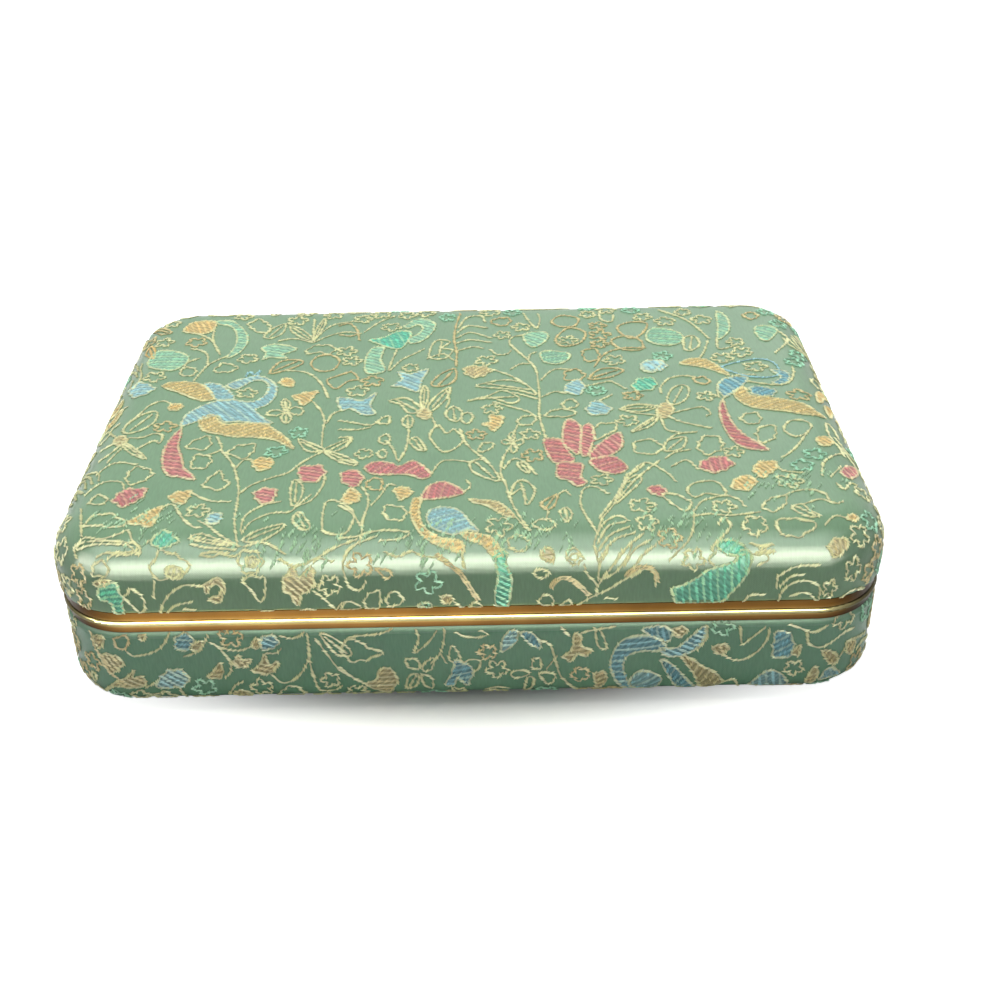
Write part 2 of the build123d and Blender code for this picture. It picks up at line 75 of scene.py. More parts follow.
# The lid's cover: one sheet of silk brocade drawn over cotton wadding, smooth on top, worked
# round the four corners with tiny pleats, and tucked behind the gilt rim at its lower edge.
mm = 0.001
quarter = math.pi / 2
lid_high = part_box("lid_brocade")[1]
lid_flat_round = 9.7 * mm  # flat cloth outside the straight core, before the bend begins
lid_bend = 13.2 * mm
corner_reach = 22.9 * mm
lid_core = (lid_high.x - corner_reach, lid_high.y - corner_reach)
lid_wall = 8.1 * mm
lid_tuck_roll = 1.5 * mm
lid_crown, crown_half = 0.45 * mm, (122 * mm, 82 * mm)
lid_unevenness = 0.09 * mm
lid_pleat, lid_pleats_round = 0.14 * mm, 34
cloth_thick = 0.6 * mm


def wander(a, b, seed):
    """A slow, smooth unevenness between about -1 and 1, the same on every run."""
    rng = np.random.RandomState(seed)
    total = 0
    for turns in (1, 2, 3, 5, 7):
        for _ in range(3):
            angle, phase = rng.rand(2) * 2 * np.pi
            wave = turns * 22.0
            total = total + np.sin(wave * (a * np.cos(angle) + b * np.sin(angle)) + phase) / turns
    return total / 4.0


def placed(near, out, side, height, loft, lean):
    """Points off a case's core, raised by the loft, and the way the cloth faces there."""
    place = [near[k] + out[k] * (side + loft * lean[0]) for k in (0, 1)] + [height + loft * lean[1]]
    return np.stack(place, -1), np.stack([out[0] * lean[0], out[1] * lean[0], lean[1]], -1)


def lay_on_lid(across, along, lift=0.0):
    """Where the points of the flat lid cloth come to lie on the padded lid, and how they face."""
    across, along = np.asarray(across, float), np.asarray(along, float)
    near_x = np.clip(across, -lid_core[0], lid_core[0])
    near_y = np.clip(along, -lid_core[1], lid_core[1])
    out_x, out_y = across - near_x, along - near_y
    reach = np.hypot(out_x, out_y)
    safe = np.where(reach > 1e-9, reach, 1.0)
    out_x, out_y = out_x / safe, out_y / safe
    bend = np.clip((reach - lid_flat_round) / lid_bend, 0, quarter)
    past = reach - lid_flat_round - lid_bend * quarter
    drop = np.clip(past, 0, lid_wall)
    curl = np.clip((past - lid_wall) / lid_tuck_roll, 0, quarter)
    tuck = np.clip(past - lid_wall - lid_tuck_roll * quarter, 0, None)
    side = np.minimum(reach, lid_flat_round) + lid_bend * np.sin(bend) - lid_tuck_roll * (1 - np.cos(curl))
    height = lid_high.z - lid_bend * (1 - np.cos(bend)) - drop - lid_tuck_roll * np.sin(curl) - tuck
    lean = bend + np.where(tuck > 0, 0, curl)
    # the crown, the padding's unevenness, and the pleats where the cloth is worked round a corner
    crown = lid_crown * np.clip(1 - (across / crown_half[0]) ** 2, 0, 1)
    crown = crown * np.clip(1 - (along / crown_half[1]) ** 2, 0, 1)
    corner = np.clip(np.abs(out_x * out_y) * 2, 0, 1)
    turn = np.arctan2(out_y, out_x)
    pleat = lid_pleat * corner * np.clip(past / lid_wall, 0, 1) * np.sin(turn * lid_pleats_round)
    loft = crown + (lid_unevenness * wander(across, along, 4) + pleat) * np.where(curl > 0, 0.3, 1.0)
    loft = np.where(tuck > 0, 0.0, loft) + lift
    return placed((near_x, near_y), (out_x, out_y), side, height, loft, (np.sin(lean), np.cos(lean)))


def stations(core, spacing, corner_steps):
    """Stations round a case's straight core, each a core point and its outward direction."""
    found = []
    corners = [(1, -1), (1, 1), (-1, 1), (-1, -1)]
    for number, (sx, sy) in enumerate(corners):
        start = (number - 1) * quarter
        for step in range(corner_steps):
            angle = start + step / corner_steps * quarter
            found.append((sx * core[0], sy * core[1], math.cos(angle), math.sin(angle)))
        next_x, next_y = corners[(number + 1) % 4]
        run = math.hypot((next_x - sx) * core[0], (next_y - sy) * core[1])
        steps = max(1, round(run / spacing))
        out = math.cos(start + quarter), math.sin(start + quarter)
        for share in np.arange(steps) / steps:
            x, y = sx + (next_x - sx) * share, sy + (next_y - sy) * share
            found.append((core[0] * x, core[1] * y, *out))
    return np.array(found)


def faces_between(rings, count, first=0):
    """Faces between rings of points that are closed on themselves, from the first point on."""
    return [
        tuple(first + number * count + k % count for number, k in (
            (ring, k), (ring + 1, k), (ring + 1, k + 1), (ring, k + 1)))
        for ring in range(rings - 1) for k in range(count)
    ]


def make_piece(name, points, faces, body):
    """A plain mesh piece that rides on a body."""
    mesh = bpy.data.meshes.new(name)
    mesh.from_pydata([tuple(p) for p in points], [], faces)
    mesh.validate()
    piece = bpy.data.objects.new(name, mesh)
    into_scene(piece)
    mesh.shade_smooth()
    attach(piece, body)
    return piece


def cloth_map(piece, spots):
    """Keeps each corner's place on the flat cloth, in centimetres, as the piece's map."""
    layer = piece.data.uv_layers.new(name="cloth")
    index = np.zeros(len(piece.data.loops), int)
    piece.data.loops.foreach_get("vertex_index", index)
    layer.data.foreach_set("uv", (np.asarray(spots)[index] * 100).astype(np.float32).ravel())


def thickness(piece, amount):
    """Gives a sheet its thickness, inwards."""
    solid = piece.modifiers.new("thickness", "SOLIDIFY")
    solid.thickness = amount
    solid.offset = -1


lid_stations = stations(lid_core, spacing=4 * mm, corner_steps=40)
lid_bent = lid_flat_round + lid_bend * quarter
lid_reach = lid_bent + lid_wall + lid_tuck_roll * quarter
lid_rings = np.concatenate([
    np.linspace(0, lid_flat_round, 5),
    lid_flat_round + np.linspace(0, lid_bend * quarter, 19)[1:],
    lid_bent + np.linspace(0, lid_wall, 6)[1:],
    lid_reach - lid_tuck_roll * quarter * np.linspace(1, 0, 6)[1:],
    [lid_reach + 0.5 * mm, lid_reach + 1.0 * mm],
])
inner_shares = np.linspace(0, 1, 15)[1:-1]
flat_spots = np.concatenate(
    [[(0.0, 0.0)]] + [lid_stations[:, :2] * share for share in inner_shares]
    + [lid_stations[:, :2] + ring * lid_stations[:, 2:] for ring in lid_rings]
)
lid_points, _ = lay_on_lid(flat_spots[:, 0], flat_spots[:, 1])
count = len(lid_stations)
lid_faces = [(0, 1 + k, 1 + (k + 1) % count) for k in range(count)]
lid_faces += faces_between(len(inner_shares) + len(lid_rings), count, 1)
lid_cover = make_piece("lid_cover", lid_points, lid_faces, "lid")
cloth_map(lid_cover, flat_spots)
sheet = bmesh.new()
sheet.from_mesh(lid_cover.data)
bmesh.ops.remove_doubles(sheet, verts=sheet.verts, dist=1e-6)
bmesh.ops.recalc_face_normals(sheet, faces=sheet.faces)
sheet.to_mesh(lid_cover.data)
sheet.free()
thickness(lid_cover, cloth_thick)
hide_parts("lid_brocade")


class Nodes:
    """A node tree, built node by node."""

    def __init__(self, tree):
        self.tree = tree

    def node(self, kind, links=(), **settings):
        """A node with its links, by input, and its settings, which are its own or its inputs'."""
        made = self.tree.nodes.new(kind)
        for key, value in settings.items():
            if hasattr(made, key):
                setattr(made, key, value)
            else:
                made.inputs[key.replace("_", " ")].default_value = value
        for socket, source in dict(links).items():
            self.tree.links.new(source, made.inputs[socket])
        return made

    def math(self, operation, *sources):
        """A value worked out from others."""
        return self.node("ShaderNodeMath", dict(enumerate(sources)), operation=operation).outputs["Value"]


class Finish(Nodes):
    """A procedural material."""

    def __init__(self, name, **values):
        self.material = bpy.data.materials.new(name)
        self.material.use_nodes = True
        super().__init__(self.material.node_tree)
        self.shader = self.tree.nodes["Principled BSDF"]
        for socket, value in values.items():
            self.shader.inputs[socket.replace("_", " ")].default_value = value

    def set(self, **sources):
        """Links sources to the shader's sockets."""
        for socket, source in sources.items():
            self.tree.links.new(source, self.shader.inputs[socket.replace("_", " ")])

    def place(self):
        """The place in the object's own space."""
        return self.node("ShaderNodeTexCoord").outputs["Object"]

    def cloth(self):
        """The place on the flat cloth, in centimetres."""
        return self.node("ShaderNodeUVMap", uv_map="cloth").outputs["UV"]

    def noise(self, place, scale, detail, **settings):
        """An uneven value that changes from place to place."""
        return self.node(
            "ShaderNodeTexNoise", {"Vector": place}, Scale=scale, Detail=detail, **settings).outputs["Fac"]

    def wave(self, place, direction, scale, distortion, **settings):
        """A value that rises and falls in bands."""
        return self.node(
            "ShaderNodeTexWave", {"Vector": place}, bands_direction=direction, Scale=scale,
            Distortion=distortion, **settings,
        ).outputs["Fac"]

    def remap(self, source, start, end, **settings):
        """A value that goes from one pair of ends to another."""
        return self.node(
            "ShaderNodeMapRange", {"Value": source}, From_Min=start[0], From_Max=start[1],
            To_Min=end[0], To_Max=end[1], **settings,
        ).outputs["Result"]

    def ramp(self, source, *stops):
        """A colour, or a shade of grey, between stops along a value."""
        made = self.node("ShaderNodeValToRGB", {"Fac": source})
        elements = made.color_ramp.elements
        while len(elements) < len(stops):
            elements.new(0.5)
        for element, (position, colour) in zip(elements, stops):
            element.position = position
            element.color = (*colour, 1)
        return made.outputs["Color"]

    def times(self, first, second):
        """One colour multiplied by another."""
        made = self.node("ShaderNodeMix", {6: first, 7: second}, data_type="RGBA", blend_type="MULTIPLY")
        made.inputs[0].default_value = 1.0
        return made.outputs[2]

    def bump(self, height, distance, **settings):
        """Relief on the surface."""
        made = self.node("ShaderNodeBump", {"Height": height}, Distance=distance, **settings)
        self.set(Normal=made.outputs["Normal"])
        return made


def grey(shade):
    return (shade, shade, shade)


def green_silk(name, light, dark, dull_edge=False):
    """Satin ground: two close greens that drift across the cloth, and a fine slanting twill."""
    silk = Finish(name, Metallic=0.0, IOR=1.6, Sheen_Weight=0.12, Sheen_Roughness=0.4)
    flat = silk.cloth()
    drift = silk.noise(flat, 0.3, 1.0, Roughness=0.5)
    slub = silk.node(
        "ShaderNodeMapping", {"Vector": flat}, Rotation=(0, 0, math.radians(32)), Scale=(16, 2.6, 1))
    fleck = silk.noise(slub.outputs["Vector"], 1.0, 2.0)
    ground = silk.ramp(drift, (0.3, dark), (0.7, light))
    gloss = silk.remap(fleck, (0, 1), (0.14, 0.21))
    if dull_edge:
        # rougher in the last millimetres of the cloth, where it was pressed into the rim
        height = silk.node("ShaderNodeSeparateXYZ", {"Vector": flat}).outputs["Y"]
        gloss = silk.math("ADD", gloss, silk.remap(height, (-0.34, -0.22), (0, 0.5)))
    flecks = silk.ramp(fleck, (0.35, grey(0.94)), (0.7, grey(1.06)))
    silk.set(Base_Color=silk.times(ground, flecks), Roughness=gloss)
    twill = silk.wave(flat, "DIAGONAL", 9.0, 0.6)
    silk.bump(silk.math("ADD", twill, fleck), 0.00012, Strength=0.2)
    return silk.material


lid_cover.data.materials.append(green_silk("lid_green_silk", (0.182, 0.333, 0.182), (0.152, 0.302, 0.16)))

# The woven figures of the lid: birds, lotus, lilies, vines and small flowers in traditional manner,
# brocaded over the ground in coloured floats of silk. They are drawn on the flat cloth, in
# half millimetres from its middle. A vine is an open line and a leaf a closed one, both in cream.
lid_figures = """
amber:fill -218,125 -215,138 -206,142 -196,140 -196,126 -202,119 -212,121 mint:fill -195,141 -184,141 -173,126
-167,108 -168,91 -173,81 -178,77 -175,93 -175,109 -179,125 -185,133 -193,136 vine -195,129 -193,108 -184,83
vine -209,121 -196,110 -188,95 vine -196,41 -193,54 -190,65 -183,75 -178,79 vine -190,65 -193,82 -199,90
-206,93 leaf -207,51 -207,61 -202,62 -197,57 -199,49 leaf -184,55 -181,65 -178,68 -168,61 -172,54 vine -207,61
-205,71 -198,77 mint:fill -235,74 -232,89 -222,91 -208,82 -206,71 -213,59 -223,60 -231,64 amber:loop -241,92
-240,104 -234,94 -232,79 tan:loop -245,137 -236,133 -227,123 -234,121 sky:fill -241,33 -237,41 -229,38 -222,30
-225,24 -231,18 -236,22 gold:fill -217,34 -211,39 -200,39 -190,35 -182,25 -177,13 -184,10 -193,15 -203,23
-212,29 sky:fill -187,36 -177,34 -168,23 -163,12 -170,9 -175,11 -181,22 sky:fill -193,-25 -192,-10 -184,2
-174,9 -163,10 -155,7 -147,8 -142,17 -141,29 -146,38 -153,39 -158,33 -164,26 -171,32 -166,39 -159,43 -152,46
-143,41 -136,29 -135,14 -139,2 -146,-5 -138,-18 -132,-24 -143,-24 -154,-21 -165,-21 -171,-12 -180,-17 -188,-23
sky:loop -159,44 -158,53 -154,48 -151,54 -152,45 gold:fill -182,-17 -174,-11 -165,-24 -151,-24 -137,-25
-130,-33 -121,-44 -114,-59 -120,-54 -128,-47 -142,-43 -154,-42 -165,-38 -177,-32 rose:fill -192,-30 -197,-44
-198,-60 -195,-78 -189,-90 -183,-91 -177,-94 -172,-95 -175,-89 -181,-81 -185,-68 -190,-52 vine -193,-19
-192,-30 leaf -125,-7 -129,3 -128,10 -123,3 leaf -124,-7 -118,-2 -113,-8 -116,-14 leaf -124,-10 -120,-19
-123,-25 -127,-17 leaf -126,-9 -133,-6 -138,-11 -131,-14 amber:fill -123,13 -116,18 -107,20 -108,13 -113,0
-118,7 amber:fill -134,35 -130,42 -124,35 -126,28 vine -120,141 -119,122 -117,103 leaf -117,103 -126,108
-136,122 -136,130 -125,119 leaf -117,104 -117,122 -113,142 -111,133 -114,115 vine -116,101 -106,111 -94,117
-83,114 vine -116,108 -106,129 -91,136 vine -118,100 -132,107 -143,104 leaf -120,80 -118,92 -108,95 -100,90
-103,79 -111,83 leaf -170,134 -162,143 -152,127 -158,118 leaf -155,111 -152,124 -142,134 -142,118 -149,109
mint:fill -154,92 -146,98 -132,93 -129,87 -138,80 -134,74 -146,76 -151,73 -150,83 tan:loop -143,50 -138,68
-127,71 -121,66 -130,56 tan:loop -115,63 -112,75 -103,78 -95,69 -98,54 -108,52 vine -132,54 -119,51 -110,42
-103,28 -98,11 tan:loop -101,37 -95,43 -88,48 -84,49 -79,38 -86,35 -94,24 sky:fill -91,9 -83,9 -74,5 -65,16
-68,-1 -64,-14 -72,-15 -81,-6 -87,-8 vine -97,-23 -97,-37 -96,-56 leaf -94,-61 -103,-53 -112,-47 -106,-61
-99,-64 leaf -94,-61 -87,-54 -77,-46 -80,-58 -90,-65 leaf -94,-63 -83,-68 -72,-78 -73,-82 -84,-76 vine -95,-64
-106,-76 -114,-89 -124,-95 -135,-103 -141,-112 vine -107,4 -100,-11 -96,-26 -93,-14 -87,-8 rose:fill -108,-84
-104,-82 -96,-81 -91,-87 -92,-95 -98,-102 -104,-99 -107,-91 rose:fill -80,-93 -75,-87 -67,-94 -67,-103
-72,-107 -78,-103 rose:fill -132,-113 -128,-108 -120,-109 -119,-118 -123,-126 -129,-121 amber:fill -138,-75
-134,-70 -126,-73 -126,-81 -131,-86 -136,-82 rose:fill -218,-118 -215,-108 -209,-105 -200,-106 -201,-115
-206,-122 -211,-125 amber:fill -184,-115 -180,-110 -172,-109 -172,-116 -175,-124 -181,-120 amber:fill
-203,-142 -198,-136 -187,-127 -187,-136 -189,-147 -197,-146 sky:fill -157,-142 -155,-135 -149,-136 -149,-144
-153,-147 turquoise:fill -187,-160 -184,-155 -179,-152 -171,-160 -174,-162 -181,-164 vine -189,-160 -185,-157
leaf -184,-54 -180,-45 -172,-41 -169,-53 -174,-58 leaf -177,-79 -176,-65 -169,-66 -165,-72 -169,-82 leaf
-165,-102 -163,-94 -158,-85 -154,-95 -149,-102 -157,-108 leaf -156,-64 -151,-54 -140,-53 -140,-62 -146,-72
-150,-67 vine -166,-42 -161,-56 -163,-61 -171,-66 vine -161,-59 -155,-69 -149,-82 -143,-105 -141,-124
-140,-142 -136,-163 vine -148,-82 -144,-72 -138,-73 vine -172,-110 -164,-117 -157,-121 -146,-122 vine
-187,-127 -180,-124 -173,-137 -165,-148 -159,-150 vine -135,-153 -134,-138 -125,-127 -115,-123 vine -134,-155
-129,-144 -119,-136 -108,-135 -104,-128 -97,-116 leaf -133,-160 -124,-153 -110,-148 -112,-154 -123,-161 vine
-132,-164 -120,-162 -108,-169 vine -135,-164 -147,-156 -154,-149 -161,-143 leaf -164,-158 -158,-155 -148,-159
-139,-163 -150,-162 vine -163,-162 -156,-164 -146,-165 -137,-166 vine -157,-168 -150,-167 -141,-168 leaf
-107,-128 -110,-111 -109,-98 -103,-106 -103,-121 vine -105,-129 -96,-122 -91,-107 -90,-95 leaf -105,-144
-102,-135 -94,-151 -99,-153 tan:loop -77,-123 -73,-114 -68,-117 -68,-124 leaf -87,-149 -87,-126 -80,-124
-69,-138 -72,-156 -84,-156 leaf -231,-28 -227,-15 -220,-6 -213,-5 -212,-18 -218,-29 -227,-34 leaf -228,-45
-221,-51 -208,-67 -214,-65 -223,-56 vine -224,-40 -216,-40 -209,-35 -203,-38 -203,-48 -208,-45 -217,-56 vine
-242,-50 -236,-48 -230,-45 vine -239,-66 -233,-60 -228,-49 vine -240,-9 -238,4 -236,6 vine -231,-42 -241,-26
-236,-18 tan:fill -234,-44 -232,-36 -226,-41 -226,-49 -230,-50 vine -232,-71 -230,-64 -226,-52 vine -236,-85
-230,-75 -223,-72 -213,-75 leaf -215,-95 -214,-80 -207,-79 -200,-86 -203,-94 -209,-99 vine -231,-23 -224,-6
-220,5 -212,11 -204,5 amber:fill -206,-1 -205,6 -197,4 -200,-3 vine -238,-108 -232,-99 -225,-95 -217,-97
-214,-105 leaf -232,-120 -229,-111 -222,-116 -224,-122 vine -236,-125 -232,-142 -230,-152 leaf -231,-144
-225,-135 -217,-133 -208,-140 -205,-147 -212,-148 -223,-145 leaf -233,-160 -228,-154 -217,-157 -207,-154
-202,-151 -198,-159 -193,-164 -194,-168 -200,-162 -210,-161 -223,-160 vine -219,-168 -212,-166 -206,-168
-200,-166 -193,-167 turquoise:fill -75,102 -65,106 -55,116 -45,114 -47,98 -52,86 -62,90 -70,97 mint:fill
-50,126 -42,137 -33,137 -27,127 -29,113 -36,99 -44,95 -46,103 -39,111 -36,121 -40,128 -47,122 mint:fill -72,88
-64,88 -65,68 -61,50 -73,47 -76,68 vine -54,84 -56,71 -58,50 -50,67 -41,77 -34,85 tan:line -100,129 -92,132
-85,117 -89,110 -98,112 tan:line -85,117 -83,103 vine -80,117 -69,135 -58,145 tan:line -8,147 -11,125 -12,100
-10,79 -10,56 vine -9,121 -3,139 8,142 11,131 vine -10,112 -2,124 12,120 vine -10,103 0,112 15,102 vine -10,94
0,99 15,94 vine -9,81 2,87 9,84 leaf -30,73 -28,93 -23,100 -15,96 -21,86 -13,82 -18,69 -26,68 vine -31,69
-20,76 -12,65 tan:loop 15,131 24,138 31,134 25,123 mint:fill 40,106 49,111 57,109 57,98 48,85 42,90 vine
41,106 32,103 29,94 32,84 42,63 47,47 48,25 48,3 47,-17 48,-34 50,-51 mint:fill 52,76 62,77 72,72 70,62 62,56
53,61 vine 48,76 44,73 42,63 vine 50,31 56,43 62,48 70,47 vine 29,49 36,57 42,57 vine 15,81 20,73 27,74 30,80
tan:fill -4,50 0,55 14,51 14,45 6,37 -2,41 vine 14,50 24,43 31,36 39,25 leaf 5,23 13,29 26,32 38,26 46,9 34,16
23,19 leaf -1,2 12,8 23,16 34,4 28,-3 15,5 vine 30,13 46,3 vine 17,-1 28,-8 39,-15 45,-23 leaf 32,-31 36,-22
45,-23 40,-34 vine 50,6 59,13 66,10 leaf 50,-21 59,-13 70,-15 68,-23 58,-23 leaf 63,-6 69,2 74,-7 67,-12
sky:fill -54,26 -48,36 -51,48 -43,44 -35,49 -30,50 -34,34 -36,17 -44,22 -48,25 tan:loop -27,28 -21,43 -11,51
-10,36 -15,27 -22,24 leaf -55,4 -43,7 -32,-11 -41,-14 -47,-2 leaf -32,25 -34,10 -32,-8 -29,3 -29,18 leaf
-28,-4 -22,12 -14,22 -16,6 -26,-12 tan:fill -35,-12 -30,-8 -26,-17 -29,-23 -34,-20 vine -25,-21 -22,-34 vine
-16,18 -14,3 -16,-7 leaf -26,-45 -21,-32 -15,-43 -10,-38 -4,-52 -10,-64 -17,-67 -23,-56 leaf -16,-15 -11,-6
-5,-15 -8,-27 -14,-23 leaf -5,-16 2,-18 1,-27 -4,-30 vine -6,-38 -2,-57 5,-70 11,-79 leaf 6,-68 9,-57 16,-58
13,-65 amber:fill 9,-31 14,-29 14,-20 21,-21 22,-28 17,-41 13,-36 leaf 28,-55 26,-48 28,-43 30,-49 leaf 29,-57
34,-53 35,-58 31,-61 leaf 28,-59 31,-66 28,-70 27,-65 leaf 27,-57 23,-59 21,-55 24,-53 vine 32,-34 28,-50 vine
27,-61 22,-76 20,-94 23,-109 26,-128 31,-146 36,-157 leaf -61,-27 -58,-19 -54,-19 -54,-28 vine -87,-23 -78,-26
-66,-30 -61,-24 vine -86,-35 -75,-36 -66,-33 rose:fill -66,-84 -59,-78 -50,-80 -44,-84 -37,-78 -31,-82 -24,-95
-29,-100 -37,-95 -45,-94 -54,-94 -62,-92 vine -45,-78 -41,-63 -40,-42 -41,-29 leaf -45,-25 -42,-18 -38,-22
-39,-34 -43,-32 vine -46,-76 -49,-63 -54,-52 leaf -59,-49 -56,-43 -52,-47 -53,-55 -57,-55 leaf -39,-53 -34,-48
-28,-64 -33,-64 leaf -59,-68 -56,-63 -53,-68 -55,-74 vine -85,-46 -78,-46 -79,-54 -84,-62 vine -83,-75 -77,-76
-72,-80 amber:fill -77,-123 -73,-110 -68,-115 -67,-123 -72,-127 tan:loop -64,-104 -59,-98 -54,-101 -55,-112
-61,-110 amber:fill -46,-111 -39,-110 -35,-116 -41,-124 -44,-118 vine -66,-108 -62,-118 -61,-129 -63,-145
-63,-155 -64,-164 vine -59,-129 -54,-118 -50,-106 -46,-107 leaf -51,-132 -46,-130 -38,-135 -39,-145 -46,-146
-50,-141 vine -78,-129 -70,-138 -64,-151 vine -76,-160 -66,-159 -57,-156 -47,-155 -35,-157 -40,-161 -52,-162
vine -74,-175 -71,-168 -64,-163 -54,-159 vine -24,-95 -18,-80 -10,-78 2,-81 leaf 1,-81 9,-78 16,-91 19,-104
9,-99 2,-91 vine -3,-116 1,-110 -1,-103 rose:fill -29,-122 -25,-109 -18,-104 -12,-106 -3,-116 -9,-121 -18,-123
-25,-124 amber:fill -33,-122 -29,-125 -30,-135 -28,-149 -23,-157 -14,-162 -5,-163 -4,-168 -11,-167 -20,-164
-28,-158 -33,-147 -35,-135 sky:fill -25,-144 -22,-135 -14,-133 -5,-138 1,-150 6,-157 -1,-156 -8,-159 -16,-157
-22,-153 amber:fill -4,-158 6,-159 14,-162 19,-170 20,-173 14,-172 7,-165 -1,-162 tan:fill 1,-125 9,-126
19,-130 28,-145 21,-143 11,-132 4,-129 vine 28,-145 33,-154 36,-157 leaf 26,-120 29,-107 34,-104 40,-112
40,-121 35,-132 33,-114 vine 22,-89 28,-78 35,-82 42,-97 leaf 31,-83 37,-84 38,-95 33,-91 rose:fill 61,-54
62,-40 66,-27 73,-35 73,-52 70,-73 65,-67 61,-60 rose:fill 73,-55 75,-38 80,-34 82,-47 78,-68 75,-76 72,-73
rose:fill 49,-54 59,-54 63,-67 67,-81 61,-83 54,-83 50,-70 rose:fill 77,-76 83,-63 93,-50 99,-47 99,-63 92,-74
82,-79 rose:fill 78,-80 92,-77 100,-91 92,-98 83,-95 78,-87 rose:fill 55,-98 57,-84 66,-84 72,-86 70,-101
73,-108 67,-112 62,-105 57,-103 leaf 82,-41 89,-33 98,-36 95,-44 86,-52 82,-55 sky:fill 79,-14 86,-1 91,-6
96,-15 88,-22 82,-20 vine 89,-1 98,7 sky:fill 66,18 74,30 80,22 77,11 71,8 vine 80,20 92,25 99,27 108,16
tan:loop 68,43 75,47 81,39 78,31 68,30 tan:loop 84,32 91,45 101,48 109,44 101,35 90,31 turquoise:fill 113,19
120,31 130,29 129,18 122,12 115,14 sky:fill 123,53 130,59 137,56 133,45 125,42 tan:loop 62,129 69,140 82,135
79,121 68,120 tan:loop 64,100 74,117 86,109 82,92 71,85 65,89 tan:loop 82,75 90,81 94,68 87,58 83,64 tan:loop
112,119 123,126 134,122 128,104 119,97 112,108 tan:loop 105,95 116,101 126,93 126,78 114,77 107,84 tan:line
89,51 98,71 111,80 128,80 vine 99,142 100,131 107,127 110,139 vine 41,145 44,133 50,118 53,133 52,144 vine
102,-14 110,-8 124,-9 129,-12 vine 103,-15 112,-20 128,-24 vine 121,-83 111,-95 102,-107 97,-109 92,-123
87,-135 80,-148 76,-160 74,-167 76,-177 vine 96,-109 99,-99 105,-95 112,-85 vine 76,-160 81,-152 89,-146
95,-151 vine 76,-166 83,-155 93,-152 vine 76,-171 84,-161 95,-156 vine 76,-177 85,-165 98,-160 vine 86,-178
94,-168 103,-161 vine 91,-180 98,-170 107,-165 vine 97,-181 103,-173 110,-168 rose:fill 110,-118 114,-113
119,-115 121,-121 116,-125 leaf 39,-154 41,-149 49,-149 51,-155 45,-157 tan:loop 44,-131 50,-124 54,-122
52,-133 47,-138 vine 48,-140 46,-149 vine 54,-122 59,-117 62,-122 vine 68,-136 68,-127 71,-115 78,-113 85,-121
vine 68,-136 71,-148 75,-158 leaf 55,-140 59,-136 62,-143 59,-151 56,-147 tan:fill 42,-172 46,-168 50,-172
49,-177 44,-175 leaf 23,-164 29,-160 36,-165 32,-170 26,-169 leaf 57,-172 61,-169 65,-171 63,-176 59,-175
mint:fill 132,104 138,114 148,112 158,101 154,87 142,84 132,92 vine 146,147 162,131 170,116 177,95 mint:fill
190,142 196,130 194,108 184,93 187,116 vine 176,91 170,71 165,61 leaf 159,96 167,99 169,85 162,75 157,77 vine
183,95 182,77 193,80 mint:fill 215,113 226,114 230,106 220,89 214,97 vine 222,69 231,82 236,95 232,104
tan:loop 209,135 216,140 220,133 214,127 gold:fill 151,54 159,61 170,59 177,48 183,34 174,41 166,47 156,51
sky:loop 180,47 196,56 209,59 218,52 219,36 211,30 198,31 188,37 blue:fill 172,13 176,25 184,30 194,31 194,25
186,13 176,1 174,3 vine 171,1 172,16 178,28 190,34 201,34 blue:fill 214,41 223,39 225,30 220,20 212,21 219,30
vine 230,46 229,36 224,23 216,18 205,20 195,24 blue:fill 195,15 204,15 211,9 207,2 196,4 gold:fill 182,4
190,16 193,3 204,0 215,-4 226,-10 234,-21 238,-27 224,-25 212,-20 198,-17 188,-11 rose:fill 170,-11 173,-5
174,-31 179,-50 188,-64 192,-72 184,-71 174,-65 169,-47 168,-28 vine 183,10 175,1 171,-8 vine 132,9 133,18
140,30 150,34 158,32 leaf 135,-3 140,14 148,20 152,14 148,-1 139,-9 leaf 102,-14 114,-8 126,-12 115,-18 leaf
107,-45 118,-32 127,-24 120,-38 vine 136,-21 147,-16 158,-13 162,-22 159,-25 vine 134,-26 141,-33 159,-42 vine
128,-29 130,-43 137,-47 tan:fill 127,-15 133,-6 138,-15 132,-27 127,-25 vine 129,-57 137,-49 149,-47 tan:loop
157,28 164,32 168,24 162,21 sky:fill 123,53 129,59 138,57 140,49 132,41 124,43 leaf 106,-64 112,-56 122,-59
124,-70 114,-75 108,-72 leaf 126,-71 129,-58 141,-54 137,-68 leaf 148,-65 152,-55 160,-52 164,-61 161,-71
153,-76 148,-72 rose:fill 145,-89 153,-81 161,-80 167,-88 159,-97 150,-98 147,-94 vine 125,-80 132,-73 142,-70
vine 128,-90 138,-83 144,-94 amber:fill 179,-94 186,-86 195,-89 189,-100 182,-105 179,-100 amber:fill 162,-115
169,-104 178,-107 174,-117 168,-121 vine 178,-107 181,-103 vine 194,-93 197,-98 204,-100 209,-101 leaf 207,-46
212,-35 220,-33 226,-39 222,-49 213,-55 vine 222,-49 211,-68 202,-79 199,-81 amber:fill 226,-58 232,-55
236,-61 230,-68 226,-64 leaf 181,-31 186,-23 193,-23 194,-32 188,-38 leaf 188,-51 194,-40 202,-43 198,-57
190,-62 rose:fill 233,-99 239,-90 247,-86 245,-96 237,-106 233,-103 vine 220,-104 224,-89 233,-79 243,-71 vine
225,-106 230,-99 234,-93 vine 78,-148 87,-130 95,-114 101,-99 112,-85 124,-98 128,-108 leaf 89,-132 95,-111
105,-100 107,-107 99,-119 leaf 134,-120 139,-111 152,-109 157,-119 155,-126 145,-123 138,-127 leaf 119,-124
124,-122 132,-129 135,-136 129,-141 123,-134 vine 135,-143 141,-132 149,-128 157,-126 164,-131 166,-138 vine
